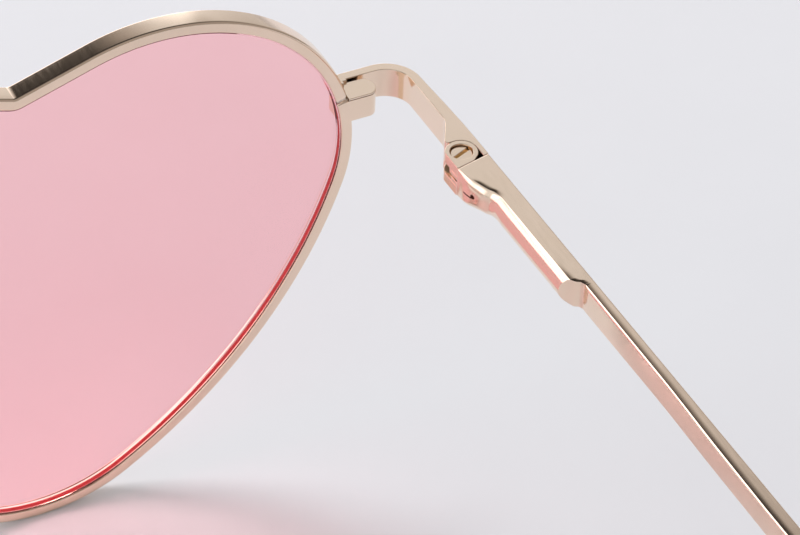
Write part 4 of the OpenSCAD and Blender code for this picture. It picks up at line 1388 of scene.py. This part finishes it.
def plan_dir(angle):
    """Direction in plan, an angle in degrees from backwards towards outwards."""
    return np.stack([np.sin(np.radians(angle)), np.cos(np.radians(angle))], -1)


def arm_path():
    """Middle line of the pad arm in plan, with its headings from backwards."""
    line = [np.array([[ARM_U, -ARM_SUNK]])]
    headings = [np.zeros(1)]

    def straight(length):
        """One point further along the last heading."""
        line.append(line[-1][-1:] + length * plan_dir(headings[-1][-1:]))
        headings.append(headings[-1][-1:])

    def bend(t0, t1, way):
        """Arc about a centre one radius to the side: its points lie at t + 90 degrees."""
        t = np.linspace(t0, t1, 12)[1:]
        centre = line[-1][-1] + way * ARM_R * plan_dir(t0 + 90)
        line.append(centre - way * ARM_R * plan_dir(t + 90))
        headings.append(t)

    straight(ARM_START + ARM_SUNK)
    bend(0, ARM_TURN, 1)
    straight(ARM_MID)
    bend(ARM_TURN, PAD_SPLAY, -1)
    straight(ARM_END)
    return np.vstack(line), np.concatenate(headings)


ARM_LINE, ARM_HEADINGS = arm_path()


def make_pad_arm(side):
    """Circles across the arm's line: across by r cos t and up by r sin t."""
    t = np.linspace(0, 2 * math.pi, 24, endpoint=False)
    sideways = plan_dir(ARM_HEADINGS + 90)[:, None]
    flat = ARM_LINE[:, None] + ARM_DIA / 2 * np.cos(t)[:, None] * sideways
    height = np.broadcast_to(PAD_Z + ARM_DIA / 2 * np.sin(t), flat.shape[:2])
    rings = np.dstack([flat, height])
    node = f"pad_arm_{side}"
    return piece(f"{node}_wire", side, [shell(rings)], node, rose_gold)


print("pad arm:", len(ARM_LINE), "points, end at", np.round(ARM_LINE[-1], 2), "mm")

# %% [markdown]
# ## Pad boxes and pad screws
# At the wire's end sits a small box with a slot, and a screw goes across the slot through
# the pad's tab. The box could be cut from a cube, but a prism over a U has the same form
# with fewer steps. Both are drawn upright and level, which keeps their numbers simple,
# and then leaned and turned as the pad is. The screw is the same one as before.

# %% Pad boxes and screws
BOX_W, BOX_H, BOX_WALL, BOX_BACK = 2.3, 2.0, 0.55, 1.5
PAD_SCREW_R, PAD_HEAD_R, PAD_HEAD_H, PAD_SCREW_GAP = 0.4, 0.75, 0.4, 0.05
TAB_R = 2 * PAD_SCREW_R
PAD_AT = np.array([*(ARM_LINE[-1] + BOX_W / 2 * plan_dir(PAD_SPLAY)), PAD_Z])


def to_pad(shells):
    """Shells in the pad's frame, x outwards and y along its screw, taken to (u, v, z)."""
    tilt, splay = math.radians(-PAD_TILT), math.radians(-PAD_SPLAY)
    c, s = math.cos(tilt), math.sin(tilt)
    lean = np.array([[c, 0, s], [0, 1, 0], [-s, 0, c]])
    c, s = math.cos(splay), math.sin(splay)
    turn = np.array([[c, -s, 0], [s, c, 0], [0, 0, 1]])
    return [(verts @ (turn @ lean).T + PAD_AT, faces) for verts, faces in shells]


def make_pad_box(side):
    """Prism over a U in plan, open towards the nose."""
    slot = BOX_W / 2 - BOX_WALL
    deep = TAB_R + RUN_GAP
    outline = round_corners(
        [(BOX_BACK, -BOX_W / 2), (BOX_BACK, BOX_W / 2), (-TAB_R, BOX_W / 2), (-TAB_R, slot),
         (deep, slot), (deep, -slot), (-TAB_R, -slot), (-TAB_R, -BOX_W / 2)],
        [0.35, 0.35, 0.12, 0.08, 0.05, 0.05, 0.08, 0.12], hold=0.04,
    )
    node = f"pad_box_{side}"
    body = prism(outline, -BOX_H / 2, BOX_H / 2)
    return piece(f"{node}_fork", side, to_pad([body]), node, rose_gold, bevel=0.08)


def make_pad_screw(side):
    """Slotted screw laid along y, with its head on the box's rear side."""
    shells = slotted_screw(PAD_HEAD_R, PAD_HEAD_H, PAD_SCREW_R, BOX_W - PAD_SCREW_GAP)
    top = BOX_W / 2 + PAD_HEAD_H
    laid = [(np.column_stack([v[:, 0], v[:, 2] + top, -v[:, 1]]), f) for v, f in shells]
    node = f"pad_screw_{side}"
    return piece(f"{node}_body", side, to_pad(laid), node, screw_gold, bevel=0.04)


print(f"pad screw at u {PAD_AT[0]:.2f}, v {PAD_AT[1]:.2f}, z {PAD_AT[2]:.2f} mm")

# %% [markdown]
# ## Ovals for the pads
# The plate and the soft pad have the same kind of outline, an oval with long straight
# sides. It could be a squashed circle, but that is too pointed at its ends. So a circle
# is cut in two, in effect, and its ends are drawn apart by a clipped sine.

# %% Ovals
PAD_LEN, PAD_W, PAD_T, PAD_OFF = 13.2, 7.4, 2.4, 1.1
STRAIGHTEN = 2.2


def oval_rings(length, width, levels, count=72):
    """Rings of an oval at levels (x, how far its outline is drawn in).

    With r the half width and run half the length less half the width, y is r cos t, and
    z is r sin t + run clipped(STRAIGHTEN sin t), which draws the two ends apart.
    """
    t = np.linspace(0, 2 * math.pi, count, endpoint=False)
    run = length / 2 - width / 2
    x, drawn_in = np.array(list(levels), float).T[:, :, None]
    r = width / 2 - drawn_in
    z = r * np.sin(t) + run * np.clip(np.sin(t) * STRAIGHTEN, -1, 1)
    return np.stack([x + 0 * z, r * np.cos(t), z], -1)


def crowned(ring, share, rise):
    """Ring drawn in to a share of its size, raised by rise (1 - share^2)."""
    out = ring * np.array([1, share, share])
    out[:, 0] = ring[:, 0] + rise * (1 - share**2)
    return out


print("pad outline:", PAD_LEN, "x", PAD_W, "mm")

# %% [markdown]
# ## Core plates
# Inside the silicone lies a stiff plate, which shows through it, and its tab goes into the
# box and turns on the screw there. Plate and tab could be joined by a boolean, but inside
# the pad nobody sees where they meet, so the tab simply ends in the plate.

# %% Core plates
CORE_T, CORE_LEN, CORE_W, CORE_EDGE, TAB_EDGE = 0.7, 8.0, 3.8, 0.1, 0.02


def make_pad_core(side):
    """Oval plate with rounded edges, and the tab: a half circle that ends in the plate."""
    middle = -PAD_OFF - PAD_T / 2
    low, high = middle - CORE_T / 2, middle + CORE_T / 2
    plate = oval_rings(CORE_LEN, CORE_W, [
        (low, 2 * CORE_EDGE), (low + TAB_EDGE, CORE_EDGE), (low + CORE_EDGE, 0),
        (high - CORE_EDGE, 0), (high, CORE_EDGE),
    ])
    tab_half = BOX_W / 2 - BOX_WALL - SIDE_GAP
    tab_r = TAB_R - TAB_EDGE
    root = high - CORE_EDGE
    tab = np.vstack([arc((0, 0), tab_r, -90, 90, 24), [(root, tab_r), (root, -tab_r)]])
    verts, faces = prism(tab, -tab_half, tab_half)
    shells = [shell(plate, fan=True), (verts[:, [0, 2, 1]], faces)]
    node = f"pad_core_{side}"
    return piece(f"{node}_plate", side, to_pad(shells), node, core_plastic)


print("core plate:", CORE_LEN, "x", CORE_W, "mm")

# %% [markdown]
# ## Nose pads
# A nose pad is moulded from clear silicone, so it has no edges at all: its rim is half
# round, and both its faces are crowned a little. A cube with Subdivision would come out
# soft too, but its outline would be harder to steer than a stack of ovals.

# %% Nose pads
PAD_DEPTH_SHARE, PAD_ROUND, CROWN_SHARE = 0.72, 0.85, 0.14
CROWN_RINGS = (0.25, 0.5, 0.72, 0.88, 0.96)


def make_nose_pad(side):
    """Soft pad: its rim is a half round of 15 ovals, closed by crowned rings on both sides.

    Along the rim, at angle t, the depth goes with sin t and the oval is drawn in by
    PAD_ROUND (1 - cos t).
    """
    middle = -PAD_OFF - PAD_T / 2
    angle = np.radians(np.linspace(90, -90, 15))
    depth = middle + np.sin(angle) * PAD_T / 2 * PAD_DEPTH_SHARE
    rings = oval_rings(PAD_LEN, PAD_W, zip(depth, PAD_ROUND * (1 - np.cos(angle))))
    rise = CROWN_SHARE * PAD_T
    back = [crowned(rings[0], share, rise) for share in CROWN_RINGS]
    face = [crowned(rings[-1], share, -rise) for share in CROWN_RINGS[::-1]]
    cushion = shell([*back, *rings, *face], fan=True)
    node = f"nose_pad_{side}"
    return piece(f"{node}_cushion", side, to_pad([cushion]), node, silicone)


for side in SIDES:
    arm_and_box = [make_pad_arm(side), make_pad_box(side), make_pad_screw(side)]
    tell(f"{side} pad with its arm", [*arm_and_box, make_pad_core(side), make_nose_pad(side)])

# %% [markdown]
# ## Floor
# The glasses stand on pale paper, a little cooler than the metal. One square face is
# enough for it, wide enough to fill the picture and to show in every polished face. More
# light would make the paper paler, but it would also wash out the shadow. So a trace of
# light is given to the paper that only the camera, reflections and clear pieces see.

# %% Floor
FLOOR_HALF, FLOOR_PALE, FIBRES = 3.0, 0.03, 50
PAPER = ((0.77, 0.775, 0.815), (0.8, 0.805, 0.845))


def make_floor():
    """One square face with a faint, cloudy paper colour."""
    mesh = bpy.data.meshes.new("floor")
    corners = [(x * FLOOR_HALF, y * FLOOR_HALF, 0) for x, y in ((-1, -1), (1, -1), (1, 1), (-1, 1))]
    mesh.from_pydata(corners, [], [(0, 1, 2, 3)])
    obj = bpy.data.objects.new("floor", mesh)
    bpy.context.scene.collection.objects.link(obj)
    material, tree, shader = new_material("paper_floor")
    fibres = link_noise(tree, [FIBRES] * 3, 4, 0.6)
    tree.links.new(link_mix(tree, fibres, *PAPER), shader.inputs["Base Color"])
    shader.inputs["Roughness"].default_value = 0.9
    shader.inputs["Specular IOR Level"].default_value = 0.1
    shader.inputs["Emission Color"].default_value = (0.98, 0.97, 1.0, 1)
    rays = tree.nodes.new("ShaderNodeLightPath").outputs
    seen = link_math(tree, "MAXIMUM", rays["Is Camera Ray"], rays["Is Glossy Ray"])
    seen = link_math(tree, "MAXIMUM", seen, rays["Is Transmission Ray"])
    pale = link_math(tree, "MULTIPLY", seen, FLOOR_PALE)
    tree.links.new(pale, shader.inputs["Emission Strength"])
    mesh.materials.append(material)
    return obj


floor = make_floor()
print(f"{floor.name}: {2 * FLOOR_HALF} m wide")

# %% [markdown]
# ## Camera
# A camera is a place, a direction and a focal length. These could be set by eye, but here
# they were fitted to the straight edges of the hinge, the temple and the rim, so that
# these edges fall where the picture has them. The focal length is long, 3100 picture
# points for a picture 800 wide. The camera's right and up are unit directions in the frame.

# %% Camera
FRAME_PX, FOCAL_PX, SENSOR_MM = 800, 3100, 36
CAMERA_MM = (21.723, 114.813, 208.547)
CAMERA_RIGHT = (-0.90193, 0.43067, 0.03209)
CAMERA_UP = (-0.27073, -0.62174, 0.73495)

camera_data = bpy.data.cameras.new("camera")
camera_data.sensor_width = SENSOR_MM
camera_data.lens = FOCAL_PX / FRAME_PX * SENSOR_MM
camera_data.clip_start = 0.01
camera = bpy.data.objects.new("camera", camera_data)
bpy.context.scene.collection.objects.link(camera)
right, up = np.array(CAMERA_RIGHT), np.array(CAMERA_UP)
back = np.cross(right, up)
pose = np.eye(4)
pose[:3, 0], pose[:3, 1], pose[:3, 2] = right, up, back
pose[:3, 3] = np.array(CAMERA_MM) * MM
camera.matrix_world = Matrix(pose.tolist())
bpy.context.scene.camera = camera
print("camera looks along", np.round(-back, 3))

# %% [markdown]
# ## The studio's world
# Polished metal has no look of its own: it shows the room. The room here is a white window
# high in front of the glasses, a dark card that takes a corner of it away, a dim dome
# behind the camera and a paler wall on the wearer's left. All are painted on the world by
# its direction: x to the wearer's left, y backwards, z up. Lamps could stand for them, but
# soft levels along each direction give the slow fades that polished metal shows. Each
# curve is a list of (coordinate, level), and the parts are multiplied or added.

# %% World
world = bpy.data.worlds.new("studio")
bpy.context.scene.world = world
world.use_nodes = True
sky = world.node_tree
direction = sky.nodes.new("ShaderNodeSeparateXYZ")
sky.links.new(sky.nodes.new("ShaderNodeTexCoord").outputs["Generated"], direction.inputs[0])


def sky_curve(axis, name, *points):
    """Grey level over a direction's coordinate from -1 to 1, through (coordinate, level)."""
    ramp = sky.nodes.new("ShaderNodeValToRGB")
    ramp.name = name
    marks = ramp.color_ramp.elements
    marks.remove(marks[1])
    marks[0].position = 0
    marks[0].color = (points[0][1],) * 3 + (1,)
    for at, level in points:
        marks.new((at + 1) / 2).color = (level, level, level, 1)
    sky.links.new(link_range(sky, direction.outputs[axis], -1, 1, 0, 1), ramp.inputs[0])
    return ramp.outputs[0]


rise = sky_curve(
    "Z", "rise", (-0.2, 0.9), (0, 1.2), (0.38, 1.1), (0.5, 0.65), (0.6, 0.41), (0.636, 0.36),
    (0.675, 0.38), (0.69, 0.36), (0.702, 0.34), (0.721, 0.3), (0.74, 0.2), (0.765, 0.09), (0.8, 0),
)
front = sky_curve("Y", "front", (-0.3, 1), (-0.15, 0.8), (0, 0.25), (0.15, 0))
sides = sky_curve("X", "sides", (-0.85, 0.25), (-0.69, 0.25), (-0.52, 0.38), (-0.44, 0.9), (-0.41, 1))
card_side = sky_curve("X", "card side", (-0.3, 0), (-0.1, 0.45), (0.07, 0.82), (0.17, 0.97), (0.3, 1))
card_rise = sky_curve("Z", "card rise", (0.46, 0), (0.58, 1))
dome = sky_curve("Y", "dome", (-0.6, 0.02), (-0.3, 0.04), (0, 0.13), (0.3, 0.36))
wall = sky_curve("X", "wall", (0.35, 0), (0.7, 0.6))
print("world curves:", [node.name for node in sky.nodes if node.type == "VALTORGB"])

# %% [markdown]
# ## The world's light
# The curves become one level: twice the window, with the card's corner taken out of it,
# plus dome and wall. One colour would do for all, but the bright parts are made a little
# cool and the dim ones a little warm, as daylight and a lit room are.

# %% World light
WINDOW_GAIN = 2.0
WARM, COOL = (1.03, 0.96, 0.9), (0.97, 0.985, 1.0)

open_part = link_math(sky, "SUBTRACT", 1.0, link_math(sky, "MULTIPLY", card_side, card_rise))
window = link_math(sky, "MULTIPLY", link_math(sky, "MULTIPLY", rise, front),
                   link_math(sky, "MULTIPLY", sides, open_part))
level = link_math(sky, "ADD", link_math(sky, "MULTIPLY", window, WINDOW_GAIN),
                  link_math(sky, "ADD", dome, wall))
background = sky.nodes["Background"]
sky.links.new(level, background.inputs["Strength"])
tint = link_mix(sky, link_range(sky, level, 0.3, 0.8, 0, 1), WARM, COOL)
sky.links.new(tint, background.inputs["Color"])
print("world nodes:", len(sky.nodes))

# %% [markdown]
# ## Lamp
# One soft lamp stands in front of the glasses and above them, opposite the camera. It
# draws the pink light under the lens and the shadow towards the camera. The window alone
# could light everything, but it is so wide that its shadows have no edge. The lamp is
# hidden from reflections, because the metal already shows the window there.

# %% Lamp
LAMP_AT, LAMP_TOWARDS, LAMP_SIZE, LAMP_POWER = (-0.1, -0.55, 0.8), (-0.03, -0.06, 0), 0.3, 4.6

lamp_data = bpy.data.lights.new("front_softbox", "AREA")
lamp_data.shape = "SQUARE"
lamp_data.size = LAMP_SIZE
lamp_data.energy = LAMP_POWER
lamp = bpy.data.objects.new("front_softbox", lamp_data)
bpy.context.scene.collection.objects.link(lamp)
aim = Vector(LAMP_TOWARDS) - Vector(LAMP_AT)
turn = aim.to_track_quat("-Z", "Y").to_matrix().to_4x4()
lamp.matrix_world = Matrix.Translation(LAMP_AT) @ turn
lamp.visible_glossy = False
print("lamp power:", LAMP_POWER, "W")

# %% [markdown]

# %% [markdown]
# ## Finish
# A filmic view would soften the bright metal, but it would also change every colour. The
# Standard view shows colours as they are written.

# %% Finish
bpy.context.scene.view_settings.view_transform = "Standard"
